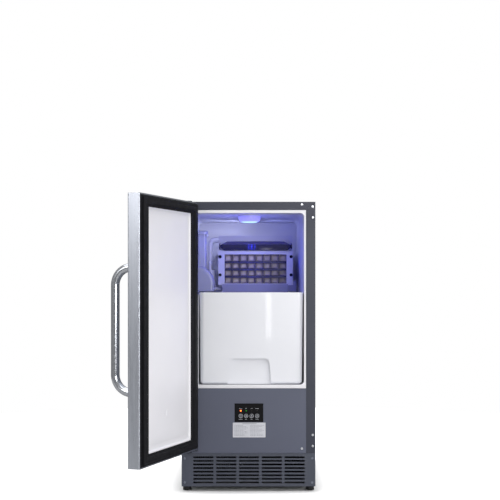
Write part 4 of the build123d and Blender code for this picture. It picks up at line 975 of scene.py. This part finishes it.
def glow_with_painted_base_shadow(finish):
    """The floor's glow: none under the cabinet, rising to a slight glow about 5 cm away from it; this fade is
    a painted shadow round the base.
    """
    split = finish.nodes.new("ShaderNodeSeparateXYZ")
    finish.links.new(finish.coords.outputs["Object"], split.inputs["Vector"])
    gaps = []
    for axis, middle, half in (("X", 0.0, 0.19), ("Y", 0.28, 0.29)):
        value = split.outputs[axis]
        steps = (("SUBTRACT", middle), ("ABSOLUTE", 0.0), ("SUBTRACT", half), ("MAXIMUM", 0.0))
        for operation, number in steps:
            node = finish.nodes.new("ShaderNodeMath")
            node.operation = operation
            node.inputs[1].default_value = number
            finish.links.new(value, node.inputs[0])
            value = node.outputs[0]
        gaps.append(value)
    total = finish.nodes.new("ShaderNodeMath")
    finish.links.new(gaps[0], total.inputs[0])
    finish.links.new(gaps[1], total.inputs[1])
    glow, reach = 0.58, 0.055
    return finish.ranged(total.outputs[0], 0.0, glow, 0.0, reach)


def floor():
    """A pale floor: grey in the light it gives back, white where the camera sees it."""
    bm = bmesh.new()
    bmesh.ops.create_circle(bm, cap_ends=True, segments=96, radius=2200)
    mesh = mesh_of(bm)
    obj = bpy.data.objects.new("floor", mesh)
    scene.collection.objects.link(obj)
    finish = Finish("floor", (0.34, 0.34, 0.34, 1), 0.8).mottle(3, 0.01)
    tree = finish.material.node_tree
    white = tree.nodes.new("ShaderNodeBsdfPrincipled")
    white.inputs["Base Color"].default_value = (0.90, 0.90, 0.90, 1)
    white.inputs["Roughness"].default_value = 0.9
    white.inputs["Emission Color"].default_value = (1, 1, 1, 1)
    # the floor's glow fades out round the base: a painted shadow
    tree.links.new(glow_with_painted_base_shadow(finish), white.inputs["Emission Strength"])
    path = tree.nodes.new("ShaderNodeLightPath")
    mix = tree.nodes.new("ShaderNodeMixShader")
    tree.links.new(path.outputs["Is Camera Ray"], mix.inputs["Fac"])
    tree.links.new(finish.shader.outputs["BSDF"], mix.inputs[1])
    tree.links.new(white.outputs["BSDF"], mix.inputs[2])
    tree.links.new(mix.outputs["Shader"], tree.nodes["Material Output"].inputs["Surface"])
    mesh.materials.append(finish.material)


camera()
world()
floor()
sun("overhead", 2.3, 90)
area("key", (1.3, 1.1), 38, (0.95, -3.3, 0.95), (0, 0, 0.5))
area("steel_panel", (1.5, 1.6), 26, (-2.3, -2.3, 1.75), (-0.3, -0.3, 0.6))
area("liner_panel", (1.5, 1.5), 18, (2.4, -1.6, 0.9), (-0.25, -0.2, 0.45))
# the lamp, and four weaker lights for the blue light that it throws about the compartment
area("lamp_light", (0.05, 0.05), 0.27, (0.003, 0.10, 0.755), (0.003, 0.12, 0), (0.03, 0.04, 1.0), False)
area("lamp_bounce", (0.14, 0.10), 0.19, (-0.01, 0.10, 0.69), (-0.01, 0.26, 0.80), (0.16, 0.17, 1.0), False)
area("rear_left", (0.04, 0.04), 0.12, (-0.03, 0.36, 0.735), (-0.2, 0.5, 0.72), (0.60, 0.63, 1.0), False)
area("rear_right", (0.04, 0.04), 0.055, (0.06, 0.36, 0.748), (0.2, 0.5, 0.74), (0.36, 0.40, 1.0), False)
# three narrow strips that show only as reflections on the cover
for x, width in ((0.6, 2.0), (10.4, 3.6), (20.2, 2.0)):
    place, target = (x * MM, 0.10, 0.635), (x * MM, 0.284, 0.694)
    glint = area("hood_glint", (width * MM, 0.06), 0.009 * width, place, target, (0.03, 0.04, 1.0))
    glint.visible_diffuse = False
area("rear_gap", (0.01, 0.03), 0.012, (0.146, 0.30, 0.65), (0.148, 0.5, 0.66), (0.10, 0.12, 1.0), False)
area("bin_strip", (0.031, 0.31), 0.28, (0.1185, -3.4, 0.345), (0.057, 0.01, 0.42))

scene.view_settings.view_transform = "Standard"
scene.cycles.use_denoising = True
